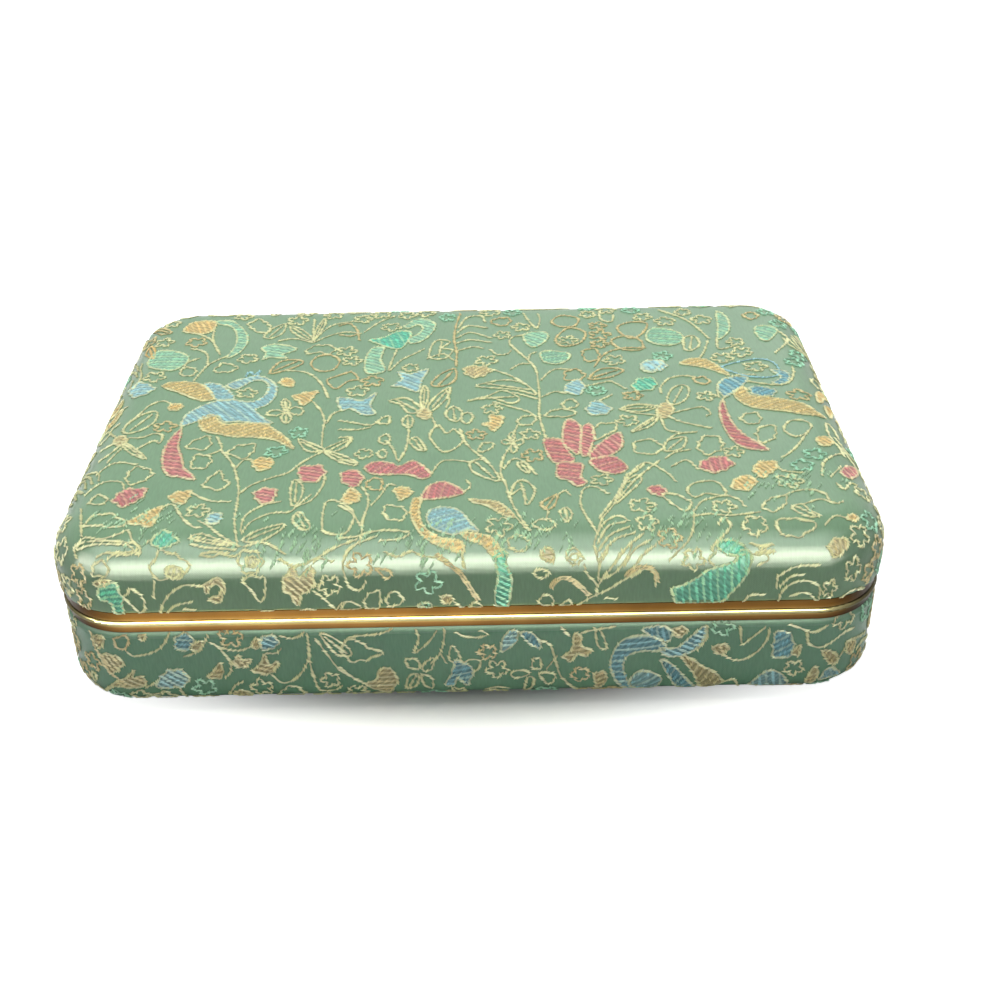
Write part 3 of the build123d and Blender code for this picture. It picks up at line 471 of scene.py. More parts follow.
134,-148 144,-146 156,-148 174,-145 vine 135,-141 133,-157 129,-166 123,-172 118,-177 vine 148,-155 152,-150
155,-156 152,-161 144,-169 143,-172 leaf 181,-158 185,-153 193,-152 204,-155 202,-161 193,-165 186,-163
tan:fill 212,-171 216,-166 225,-166 224,-170 218,-177 214,-175 vine 166,-168 172,-170 179,-169 171,-172
180,-173 169,-175 leaf 177,-138 185,-129 193,-129 190,-138 181,-145 vine 192,-127 200,-122 210,-121 217,-126
218,-133 vine 202,-137 213,-132 221,-137 226,-135 amber:fill 225,-151 229,-147 233,-148 230,-152 leaf 194,-141
201,-137 204,-144 209,-150 201,-150 vine 211,-157 218,-150 225,-151 vine 227,-114 230,-121 236,-112 240,-112
turquoise:fill -225,-189 -214,-184 -208,-186 -206,-193 -206,-202 -209,-207 -214,-207 -215,-199 -223,-195
tan:fill -225,-183 -218,-182 -212,-183 -216,-186 -222,-186 leaf -204,-195 -199,-189 -194,-194 -193,-201
-196,-207 -199,-203 vine -185,-184 -187,-195 vine -185,-207 -181,-198 -175,-191 -168,-187 -163,-187 -157,-188
vine -181,-207 -176,-202 -170,-200 -165,-199 vine -170,-204 -164,-205 tan:fill -157,-191 -154,-185 -149,-183
-144,-186 -146,-195 -150,-200 -155,-198 -152,-196 -148,-194 -146,-189 -149,-187 -153,-188 -155,-193 leaf
-133,-183 -128,-193 -124,-201 -121,-193 -121,-183 tan:fill -110,-189 -107,-181 -103,-178 -100,-183 -94,-178
-91,-182 -93,-191 -99,-195 -102,-202 -106,-196 vine -92,-193 -87,-198 -80,-207 vine -80,-207 -76,-202 -71,-201
vine -124,-207 -118,-207 vine -101,-207 -97,-206 -93,-207 leaf -185,-182 -186,-174 -180,-166 -169,-170
-165,-173 -167,-181 -174,-182 cream:fill -178,-177 -174,-175 -168,-177 -170,-181 -176,-182 leaf -135,-173
-133,-167 -124,-168 -121,-174 -125,-179 -131,-180 cream:fill -131,-172 -127,-170 -123,-173 -126,-176 -130,-176
leaf -224,-178 -221,-172 -215,-171 -212,-176 -214,-180 -220,-179 vine -228,-157 -235,-158 -234,-165 vine
-212,-170 -206,-166 -200,-168 -194,-164 vine -157,-169 -150,-170 -146,-168 -138,-170 -133,-167 vine -91,-174
-83,-168 -74,-164 -66,-161 vine -111,-172 -104,-176 -96,-175 -89,-172 -80,-174 vine -65,-163 -71,-168 -74,-176
-73,-183 -71,-190 -66,-193 -63,-191 -61,-187 tan:loop -54,-179 -47,-180 -46,-184 -49,-185 -52,-182 leaf
-77,-207 -72,-201 -65,-206 leaf -63,-204 -60,-196 -54,-194 -53,-201 -56,-207 leaf -50,-201 -45,-194 -40,-199
-41,-203 -47,-205 mint:fill -31,-205 -27,-203 -23,-204 -24,-207 tan:band -19,-172 -13,-177 -6,-183 -2,-190
2,-198 4,-202 tan:fill -17,-199 -12,-198 -10,-202 -15,-204 vine -10,-202 -5,-207 leaf 0,-207 3,-203 7,-207
turquoise:fill 16,-170 22,-170 22,-178 25,-187 24,-198 22,-207 16,-207 15,-197 17,-186 16,-178 amber:fill
-22,-163 -13,-162 -4,-164 -3,-170 -9,-169 -17,-166 vine -27,-172 -19,-173 -13,-175 vine -4,-170 -3,-179 vine
-49,-169 -42,-172 -34,-169 -27,-172 leaf 38,-184 41,-181 47,-183 43,-187 leaf 58,-175 63,-172 67,-175 62,-179
tan:band 49,-194 52,-189 58,-188 64,-193 70,-200 vine 75,-200 75,-192 69,-184 68,-179 vine 76,-193 79,-187
85,-179 90,-171 vine 64,-207 71,-202 82,-196 90,-190 100,-183 vine 81,-202 87,-203 leaf 41,-205 44,-199
49,-201 49,-207 leaf 54,-207 59,-203 60,-207 vine 79,-188 86,-184 93,-175 96,-168 vine 76,-189 77,-179 82,-170
tan:band 93,-187 97,-183 104,-182 109,-185 110,-191 vine 96,-187 104,-182 110,-185 110,-194 turquoise:fill
166,-174 165,-183 161,-192 156,-199 148,-207 125,-207 121,-201 120,-196 126,-194 134,-189 140,-184 149,-181
156,-179 158,-176 160,-172 turquoise:fill 146,-169 150,-166 158,-167 164,-173 159,-175 151,-174 vine 145,-173
141,-177 145,-182 vine 166,-175 173,-173 176,-178 170,-181 vine 163,-207 167,-202 175,-202 vine 184,-207
186,-199 193,-193 202,-193 208,-198 208,-205 vine 191,-203 200,-201 207,-207 vine 182,-197 182,-188 vine
182,-189 189,-184 196,-182 206,-182 vine 184,-196 190,-189 197,-188 vine 232,-203 243,-195 259,-188
"""
silk_tones = {
    "cream": (0.80, 0.80, 0.48), "tan": (0.74, 0.64, 0.34), "amber": (0.90, 0.69, 0.31),
    "gold": (0.85, 0.69, 0.32), "rose": (0.76, 0.31, 0.30), "sky": (0.42, 0.72, 0.75),
    "blue": (0.24, 0.54, 0.62), "turquoise": (0.20, 0.74, 0.52), "mint": (0.42, 0.76, 0.54),
}
# painted glints: the light green of the short floats along the lid's front edge
painted_glint_green = (0.46, 0.68, 0.45)


def read_figures(table):
    """The strokes of a table: how each is worked, its colour, and its points in metres."""
    strokes = []
    for word in table.split():
        word = {"vine": "cream:line", "leaf": "cream:loop"}.get(word, word)
        if ":" in word:
            tone, kind = word.split(":")
            strokes.append((kind, tone, []))
        else:
            strokes[-1][2].append([float(value) / 2 * mm for value in word.split(",")])
    return [(kind, tone, np.array(points)) for kind, tone, points in strokes]


def is_closed(kind):
    """Whether a stroke comes back to its start."""
    return kind in ("fill", "loop")


def smooth(points, closed, step):
    """A smooth line through given points, with points at even steps."""
    if closed:
        line = np.vstack([points[-1], points, points[:2]])
    else:
        line = np.vstack([2 * points[0] - points[1], points, 2 * points[-1] - points[-2]])
    found = []
    for p0, p1, p2, p3 in zip(line, line[1:], line[2:], line[3:]):
        steps = max(1, math.ceil(np.hypot(*(p2 - p1)) / step))
        for t in np.arange(steps) / steps:
            bend, twist = 2 * p0 - 5 * p1 + 4 * p2 - p3, 3 * p1 - p0 - 3 * p2 + p3
            found.append(p1 + 0.5 * ((p2 - p0) * t + bend * t**2 + twist * t**3))
    if not closed:
        found.append(line[-2])
    return np.array(found)


def inside(spots, rim):
    """Which spots lie within a closed line."""
    x, y = spots[:, 0, None], spots[:, 1, None]
    x0, y0 = rim[:, 0], rim[:, 1]
    x1, y1 = np.roll(x0, -1), np.roll(y0, -1)
    spans = (y0 > y) != (y1 > y)
    rise = np.where(spans, y1 - y0, 1)
    return (spans & (x < x0 + (y - y0) / rise * (x1 - x0))).sum(1) % 2 == 1


def area_of(rim):
    """The area within a closed line, in square millimetres."""
    turned = np.roll(rim, -1, 0)
    return abs((rim[:, 0] * turned[:, 1] - rim[:, 1] * turned[:, 0]).sum()) / 2 / mm / mm


def grid_of(low, high, pitch):
    """The spots of an even grid."""
    across, along = (np.arange(low[k], high[k], pitch) for k in (0, 1))
    return np.stack(np.meshgrid(across, along), -1).reshape(-1, 2)


def ribs(rim, pitch, lean=math.radians(62), bow=0.08, step=0.6 * mm):
    """Slanting rows across a closed figure, as feather barbs and petal veins are woven."""
    middle = rim.mean(0)
    along = np.linalg.eigh(np.cov((rim - middle).T))[1][:, 1]
    row = np.array([along[0] * math.cos(lean) - along[1] * math.sin(lean),
                    along[0] * math.sin(lean) + along[1] * math.cos(lean)])
    across = np.array([-row[1], row[0]])
    span = np.abs((rim - middle) @ row).max()
    reach = np.abs((rim - middle) @ across).max()
    rows = []
    for offset in np.arange(-reach + pitch / 2, reach, pitch):
        marks = np.arange(-span, span, step)
        spots = middle + across * (offset + bow * marks**2 / span)[:, None] + row * marks[:, None]
        held = inside(spots, rim)
        for start in np.flatnonzero(held & ~np.roll(held, 1)):
            end = start
            while end < len(held) and held[end]:
                end += 1
            if end - start > 2:
                rows.append(spots[start:end])
    return rows


def stitch_float():
    """One float of thread: a slim low ridge that tapers to both ends."""
    long, wide, tall = 0.94 * mm, 0.35 * mm, 0.32 * mm
    foot = [(-long, 0, 0), (0, -wide, 0), (long, 0, 0), (0, wide, 0)]
    ridge = [(-long * 0.5, 0, tall), (long * 0.5, 0, tall)]
    faces = [(0, 1, 4), (1, 5, 4), (1, 2, 5), (2, 3, 5), (3, 4, 5), (3, 0, 4), (0, 3, 2, 1)]
    mesh = bpy.data.meshes.new("stitch_float")
    mesh.from_pydata(foot + ridge, [], faces)
    crests = [0.0] * len(foot) + [1.0] * len(ridge)
    mesh.attributes.new("crest", "FLOAT", "POINT").data.foreach_set("value", crests)
    return bpy.data.objects.new("stitch_float", mesh)


swing, float_size, float_dye = (-0.3, 0.3), (0.75, 1.2), (0.75, 1.2)


def stitch_tree():
    """Lays floats along lines on the cloth, each turned to the line and to the cloth's face."""
    tree = bpy.data.node_groups.new("stitches", "GeometryNodeTree")
    for name, kind in (
        ("Geometry", "Geometry"), ("Spacing", "Float"), ("Slant", "Float"), ("Seed", "Int"),
        ("Float", "Object"), ("Silk", "Material"),
    ):
        tree.interface.new_socket(name, in_out="INPUT", socket_type="NodeSocket" + kind)
    tree.interface.new_socket("Geometry", in_out="OUTPUT", socket_type="NodeSocketGeometry")
    work = Nodes(tree)
    given = work.node("NodeGroupInput").outputs

    def between(low, high):
        """A chance value for each float."""
        made = work.node("FunctionNodeRandomValue", {"Seed": given["Seed"]}, data_type="FLOAT")
        made.inputs[2].default_value, made.inputs[3].default_value = low, high
        return made.outputs[1]

    path = work.node("GeometryNodeMeshToCurve", {"Mesh": given["Geometry"]}).outputs["Curve"]
    even = work.node("GeometryNodeResampleCurve", {"Curve": path, "Length": given["Spacing"]}, mode="LENGTH")
    up = work.node("GeometryNodeInputNamedAttribute", data_type="FLOAT_VECTOR", Name="cloth_up")
    tangent = work.node("GeometryNodeInputTangent").outputs["Tangent"]
    facing = work.node(
        "FunctionNodeAxesToRotation", {"Primary Axis": up.outputs["Attribute"], "Secondary Axis": tangent},
        primary_axis="Z", secondary_axis="X",
    )
    spin = work.node("ShaderNodeCombineXYZ", {"Z": work.math("ADD", given["Slant"], between(*swing))})
    euler = work.node("FunctionNodeEulerToRotation", {0: spin.outputs[0]})
    turned = work.node(
        "FunctionNodeRotateRotation", {0: facing.outputs[0], 1: euler.outputs[0]}, rotation_space="LOCAL")
    thread = work.node("GeometryNodeObjectInfo", {"Object": given["Float"]})
    laid = work.node("GeometryNodeInstanceOnPoints", {
        "Points": even.outputs["Curve"], "Instance": thread.outputs["Geometry"],
        "Rotation": turned.outputs[0], "Scale": between(*float_size),
    }).outputs["Instances"]
    dyed = work.node(
        "GeometryNodeStoreNamedAttribute", {"Geometry": laid, "Value": between(*float_dye)},
        data_type="FLOAT", domain="INSTANCE", Name="dye",
    )
    real = work.node("GeometryNodeRealizeInstances", {0: dyed.outputs["Geometry"]})
    coated = work.node("GeometryNodeSetMaterial", {"Geometry": real.outputs[0], "Material": given["Silk"]})
    work.node("NodeGroupOutput", {"Geometry": coated.outputs["Geometry"]})
    return tree


thread_float = stitch_float()
stitches = stitch_tree()
thread_silk = Finish("figure_silk", Metallic=0.0, Roughness=0.42, IOR=1.5, Sheen_Weight=0.1)
thread_tone = thread_silk.node("ShaderNodeVertexColor", layer_name="thread").outputs["Color"]
crest = thread_silk.node("ShaderNodeAttribute", attribute_name="crest").outputs["Fac"]
# painted shade: each float is darker at its foot, towards the cloth, and full colour near its crest
foot = thread_silk.ramp(crest, (0.0, (0.42, 0.46, 0.36)), (0.4, grey(1)))
dye = thread_silk.node("ShaderNodeAttribute", attribute_name="dye").outputs["Fac"]
shaded = thread_silk.node("ShaderNodeVectorMath", {0: thread_tone, 1: foot}, operation="MULTIPLY")
uneven = thread_silk.node(
    "ShaderNodeVectorMath", {0: shaded.outputs["Vector"], "Scale": dye}, operation="SCALE")
thread_silk.set(Base_Color=uneven.outputs["Vector"])
stitch_spacing, stitch_slant, stitch_lift = 0.72 * mm, 0.6, 0.1 * mm


def stitch(name, lines, lay, body):
    """Works lines of one cloth in floats: each line is its spots on the flat cloth and its colour."""
    points, edges, ups, tones = [], [], [], []
    for spots, tone in lines:
        places, facing = lay(spots[:, 0], spots[:, 1], stitch_lift)
        edges += [(len(points) + k, len(points) + k + 1) for k in range(len(spots) - 1)]
        points += [tuple(p) for p in places]
        ups += [tuple(f) for f in facing]
        tones += [(*tone, 1.0)] * len(spots)
    mesh = bpy.data.meshes.new(name + "_paths")
    mesh.from_pydata(points, edges, [])
    mesh.attributes.new("cloth_up", "FLOAT_VECTOR", "POINT").data.foreach_set("vector", np.ravel(ups))
    mesh.attributes.new("thread", "FLOAT_COLOR", "POINT").data.foreach_set("color", np.ravel(tones))
    path = bpy.data.objects.new(name + "_paths", mesh)
    into_scene(path)
    worked = path.modifiers.new("stitches", "NODES")
    worked.node_group = stitches
    sockets = {item.name: item.identifier for item in stitches.interface.items_tree if item.in_out == "INPUT"}
    for socket, value in (
        ("Spacing", stitch_spacing), ("Slant", stitch_slant), ("Seed", 7), ("Float", thread_float),
        ("Silk", thread_silk.material),
    ):
        worked[sockets[socket]] = value
    finished = bpy.data.meshes.new_from_object(path.evaluated_get(bpy.context.evaluated_depsgraph_get()))
    finished.name = name
    bpy.data.objects.remove(path)
    piece = bpy.data.objects.new(name, finished)
    into_scene(piece)
    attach(piece, body)
    return piece


patch_silk = Finish("patch_silk", Metallic=0.0, Roughness=0.5, IOR=1.5)
patch_tone = patch_silk.node("ShaderNodeVertexColor", layer_name="thread").outputs["Color"]
patch_rib = patch_silk.wave(patch_silk.cloth(), "DIAGONAL", 3.0, 3.0, Detail=2.0)
patch_shade = patch_silk.ramp(patch_rib, (0.2, (0.7, 0.74, 0.7)), (0.75, grey(1.05)))
patch_silk.set(Base_Color=patch_silk.times(patch_tone, patch_shade))
patch_silk.bump(patch_rib, 0.0002, Strength=0.4)
patch_pitch, patch_lift, patch_thick = 1.7 * mm, 0.14 * mm, 0.2 * mm


def fill(name, patches, lay, body):
    """The filled figures' ground: thin patches that follow the cloth, with a woven rib."""
    points, faces, tones, spots_all = [], [], [], []
    for rim, tone in patches:
        grid = grid_of(rim.min(0), rim.max(0), patch_pitch)
        grid = grid[inside(grid, rim)] if len(grid) else grid
        corners = [Vector(p) * 1000 for p in rim]
        loose = [Vector(p) * 1000 for p in grid]
        edges = [(k, (k + 1) % len(corners)) for k in range(len(corners))]
        outline = [list(range(len(corners)))]
        found, _, cells, _, _, _ = delaunay_2d_cdt(corners + loose, edges, outline, 1, 1e-4)
        spots = np.array([tuple(p) for p in found]) * mm
        places, _ = lay(spots[:, 0], spots[:, 1], patch_lift)
        faces += [tuple(len(points) + k for k in cell) for cell in cells]
        points += [tuple(p) for p in places]
        spots_all += spots.tolist()
        tones += [(*tone, 1.0)] * len(spots)
    piece = make_piece(name, points, faces, body)
    cloth_map(piece, spots_all)
    piece.data.attributes.new("thread", "FLOAT_COLOR", "POINT").data.foreach_set("color", np.ravel(tones))
    patch = bmesh.new()
    patch.from_mesh(piece.data)
    for face in patch.faces:
        if face.normal.dot(outwards(face.calc_center_median())) < 0:
            face.normal_flip()
    patch.to_mesh(piece.data)
    patch.free()
    thickness(piece, patch_thick)
    piece.data.materials.append(patch_silk.material)
    return piece


def outwards(place):
    """The way out of the case at a place on its cloth."""
    core = [min(max(place[k], -lid_core[k]), lid_core[k]) for k in (0, 1)]
    return place - Vector((*core, 28 * mm))


def scalloped(rim):
    """A small flower's edge, drawn in between its petals."""
    middle = rim.mean(0)
    out = rim - middle
    petals = 5 + int(abs(middle[0]) * 1000) % 3
    return middle + out * (1 + 0.1 * np.cos(petals * np.arctan2(out[:, 1], out[:, 0])))[:, None]


def sprigs(strokes, spots, clear, seed, stray=1.2 * mm, largest=3.9 * mm, corners=20):
    """Small five-petalled flowers in the gaps between the larger figures of a cloth."""
    rng = np.random.RandomState(seed)
    taken = np.vstack([smooth(points, is_closed(kind), 1.5 * mm) for kind, _, points in strokes])
    free = np.ones(len(spots), bool)
    for kind, _, points in strokes:
        if kind == "fill":
            free &= ~inside(spots, points)
    found = []
    for spot in spots[free] + rng.uniform(-1, 1, (free.sum(), 2)) * stray:
        gap = np.hypot(*(taken - spot).T).min()
        if gap > clear:
            size = min(gap - stray, largest)
            turn = rng.uniform(0, 2 * np.pi) + np.arange(corners) / corners * 2 * np.pi
            reach = size * (0.55 + 0.45 * np.abs(np.cos(2.5 * (turn - turn[0]))) ** 0.5)
            shape = spot + reach[:, None] * np.stack([np.cos(turn), np.sin(turn)], 1)
            found.append(("loop", ("cream", "cream", "tan", "cream", "mint")[rng.randint(5)], shape))
            taken = np.vstack([taken, shape])
    return found


stroke_step, band_width = 0.7 * mm, 0.8 * mm
small_area, veined_area, slimness = 75, 16, 3.2  # areas in square millimetres
fine_pitch, rib_pitch = 1.7 * mm, 2.1 * mm
patch_dark, vein_dark, rib_cream, edge_cream = 0.62, 0.95, 0.3, 0.8  # shares of a figure's colour or of cream


def draw_figures(name, strokes, lay, body, shade):
    """Sorts strokes into filled patches, ribs and outlines, and works them on one cloth."""
    patches, vines, filled = [], [], []
    cream = np.array(silk_tones["cream"]) * shade
    for kind, tone, points in strokes:
        colour = np.array(silk_tones[tone]) * shade
        rim = smooth(points, is_closed(kind), stroke_step)
        if not is_closed(kind):
            vines.append((rim, colour))
            if kind == "band":
                run = np.gradient(rim, axis=0)
                side = np.stack([-run[:, 1], run[:, 0]], 1) / np.maximum(np.hypot(*run.T), 1e-9)[:, None]
                vines.append((rim + side * band_width, colour))
            continue
        area, middle = area_of(rim), rim.mean(0)
        spread, axes = np.linalg.eigh(np.cov((rim - middle).T))
        slim, small = spread[1] > slimness * spread[0], area < small_area
        if small and not slim:
            rim = scalloped(rim)
        edge = np.vstack([rim, rim[:1]])
        if kind == "fill":
            patches.append((rim, colour * patch_dark))
            for number, row in enumerate(ribs(rim, fine_pitch if small else rib_pitch)):
                lighter = rib_cream * (1 - number % 2)
                filled.append((row, (1 - lighter) * colour + lighter * cream))
            filled.append((edge, edge_cream * cream + (1 - edge_cream) * colour))
        else:
            vines.append((edge, colour))
            if slim and area > veined_area:
                vein = np.outer(np.linspace(-1, 1, 12) * math.sqrt(spread[1]) * 1.1, axes[:, 1])
                vines.append((middle + vein, colour * vein_dark))
    return [
        fill(name + "_fills", patches, lay, body), stitch(name + "_filled_stitches", filled, lay, body),
        stitch(name + "_vine_stitches", vines, lay, body),
    ]


# The figures on the lid's front edge also run down its back, turned half round, and down its ends.
lid_half = (lid_core[0] + lid_reach, lid_core[1] + lid_reach)
edge_figures = (1 * mm, 30 * mm)  # how far up the cloth they lie
end_reach = 66 * mm
lid_strokes = read_figures(lid_figures)
for kind, tone, points in list(lid_strokes):
    below = lid_half[1] + points[:, 1]
    if below.min() > edge_figures[0] and below.max() < edge_figures[1]:
        lid_strokes.append((kind, tone, -points))
        if np.abs(points[:, 0]).max() < end_reach:
            lid_strokes.append((kind, tone, np.stack([below - lid_half[0], -points[:, 0]], 1)))
            lid_strokes.append((kind, tone, np.stack([lid_half[0] - below, points[:, 0]], 1)))
rows = grid_of((-139, -99), (140, 100), 3.6) * mm
shown = np.hypot(*np.maximum(np.abs(rows) - lid_core, 0).T) < 36.5 * mm
lid_strokes += sprigs(lid_strokes, rows[shown], clear=4.3 * mm, seed=3)
# Short floats along the lid's front edge, in a light green that paints the glints of the satin's weave where
# the sheen falls
rng = np.random.RandomState(8)
painted_glint_floats = []
for middle in ((-51, -80), (64, -77), (18, -80), (100, -56), (-14, -82), (-100, -70)):
    for _ in range(46):
        spot = (np.array(middle) + rng.normal(0, (8, 4.5))) * mm
        line = spot + np.outer((-1, 1), (0.62, 1.0)) * rng.uniform(0.5, 1.3) * mm
        painted_glint_floats.append((line, painted_glint_green))
lid_figures_made = draw_figures("lid_figures", lid_strokes, lay_on_lid, "lid", shade=1.0)
lid_figures_made.append(stitch("lid_ground_floats", painted_glint_floats, lay_on_lid, "lid"))

# The base's cover: a second sheet of the same brocade, run round the walls, turned in under
# the floor, and tucked behind the rim's lower flange at the top.
base_bend = 9.7 * mm
base_tuck_roll = 1.5 * mm
base_wall = 18.75 * mm
base_side = 22.4 * mm
base_top = 30.75 * mm
base_unevenness = 0.07 * mm
base_pleat, base_pleats = 0.1 * mm, 1900  # radians of pleat in a metre of the way round
base_corner = base_side * quarter
half_front, side_run = lid_core[0], 2 * lid_core[1]
base_runs = [
    half_front, base_corner, side_run, base_corner, 2 * half_front,
    base_corner, side_run, base_corner, half_front,
]
base_starts = np.cumsum([0] + base_runs)
base_round = sum(base_runs)


def lay_on_base(round_way, down, lift=0.0):
    """Where the points of the base's flat cloth lie: the way round from the front's middle, and down."""
    round_way, down = np.broadcast_arrays(np.asarray(round_way, float), np.asarray(down, float))
    way = np.mod(round_way, base_round)
    near_x, near_y, angle = (np.zeros(way.shape) for _ in range(3))
    a, b = lid_core
    straight = {0: (0, -b, 1, 0), 2: (a, -b, 0, 1), 4: (a, b, -1, 0), 6: (-a, b, 0, -1), 8: (-a, -b, 1, 0)}
    posts = {1: (a, -b), 3: (a, b), 5: (-a, b), 7: (-a, -b)}
    for run in range(len(base_runs)):
        here = (way >= base_starts[run]) & (way <= base_starts[run + 1])
        gone = way[here] - base_starts[run]
        facing = (run // 2 - 1) * quarter
        if run in straight:
            x0, y0, dx, dy = straight[run]
            near_x[here], near_y[here], angle[here] = x0 + dx * gone, y0 + dy * gone, facing
        else:
            near_x[here], near_y[here] = posts[run]
            angle[here] = facing + gone / base_side
    curl = np.clip(down / base_tuck_roll, 0, quarter)
    past = down - base_tuck_roll * quarter
    drop = np.clip(past, 0, base_wall)
    bend = np.clip((past - base_wall) / base_bend, 0, quarter)
    under = np.clip(past - base_wall - base_bend * quarter, 0, None)
    tuck = np.clip(-down, 0, None)
    side = base_side - base_tuck_roll * (1 - np.sin(curl)) - base_bend * (1 - np.cos(bend)) - under
    height = base_top - base_tuck_roll * (1 - np.cos(curl)) - drop - base_bend * np.sin(bend) + tuck
    face_out = np.where(tuck > 0, 1.0, np.sin(curl) * np.cos(bend))
    face_up = np.where(tuck > 0, 0.0, np.cos(curl) - np.sin(bend))
    size = np.hypot(face_out, face_up)
    at_corner = np.clip(np.abs(np.sin(2 * angle)), 0, 1) ** 0.5
    pleat = base_pleat * at_corner * np.sin(way * base_pleats) * np.sin(bend)
    sink = np.clip(drop / base_wall, 0, 1) * np.cos(bend)
    loft = lift + pleat + base_unevenness * wander(way * 0.7, down, 9) * sink
    out = np.cos(angle), np.sin(angle)
    return placed((near_x, near_y), out, side, height, loft, (face_out / size, face_up / size))


way_steps = np.concatenate([
    start + np.linspace(0, run, max(2, round(run / (2.2 * mm if number % 2 else 4 * mm)) + 1))[:-1]
    for number, (start, run) in enumerate(zip(base_starts, base_runs))
])
base_reach = base_tuck_roll * quarter + base_wall + base_bend * quarter
down_steps = np.concatenate([
    [-2.1 * mm, -1 * mm],
    np.linspace(0, base_tuck_roll * quarter, 6),
    base_tuck_roll * quarter + np.linspace(0, base_wall, 8)[1:],
    base_reach - base_bend * quarter * np.linspace(1, 0, 13)[1:],
    base_reach + np.array([1, 4, 8, 14, 18]) * mm,
])
ways, downs = np.meshgrid(way_steps, down_steps)
base_points, _ = lay_on_base(ways.ravel(), downs.ravel())
base_faces = faces_between(len(down_steps), len(way_steps))
base_cover = make_piece("base_cover", base_points, base_faces, "base")
layer = base_cover.data.uv_layers.new(name="cloth")
for face in base_cover.data.polygons:
    ways_here = [ways.ravel()[v] for v in face.vertices]
    past_back = max(ways_here) > base_round / 2 + mm
    for loop, vertex, way in zip(face.loop_indices, face.vertices, ways_here):
        wrapped = way - base_round if past_back and way > mm else way
        layer.data[loop].uv = (wrapped * 100, -downs.ravel()[vertex] * 100)
thickness(base_cover, cloth_thick)
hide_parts("base_brocade")
base_cover.data.materials.append(
    green_silk("base_green_silk", (0.135, 0.31, 0.185), (0.115, 0.285, 0.165), dull_edge=True))
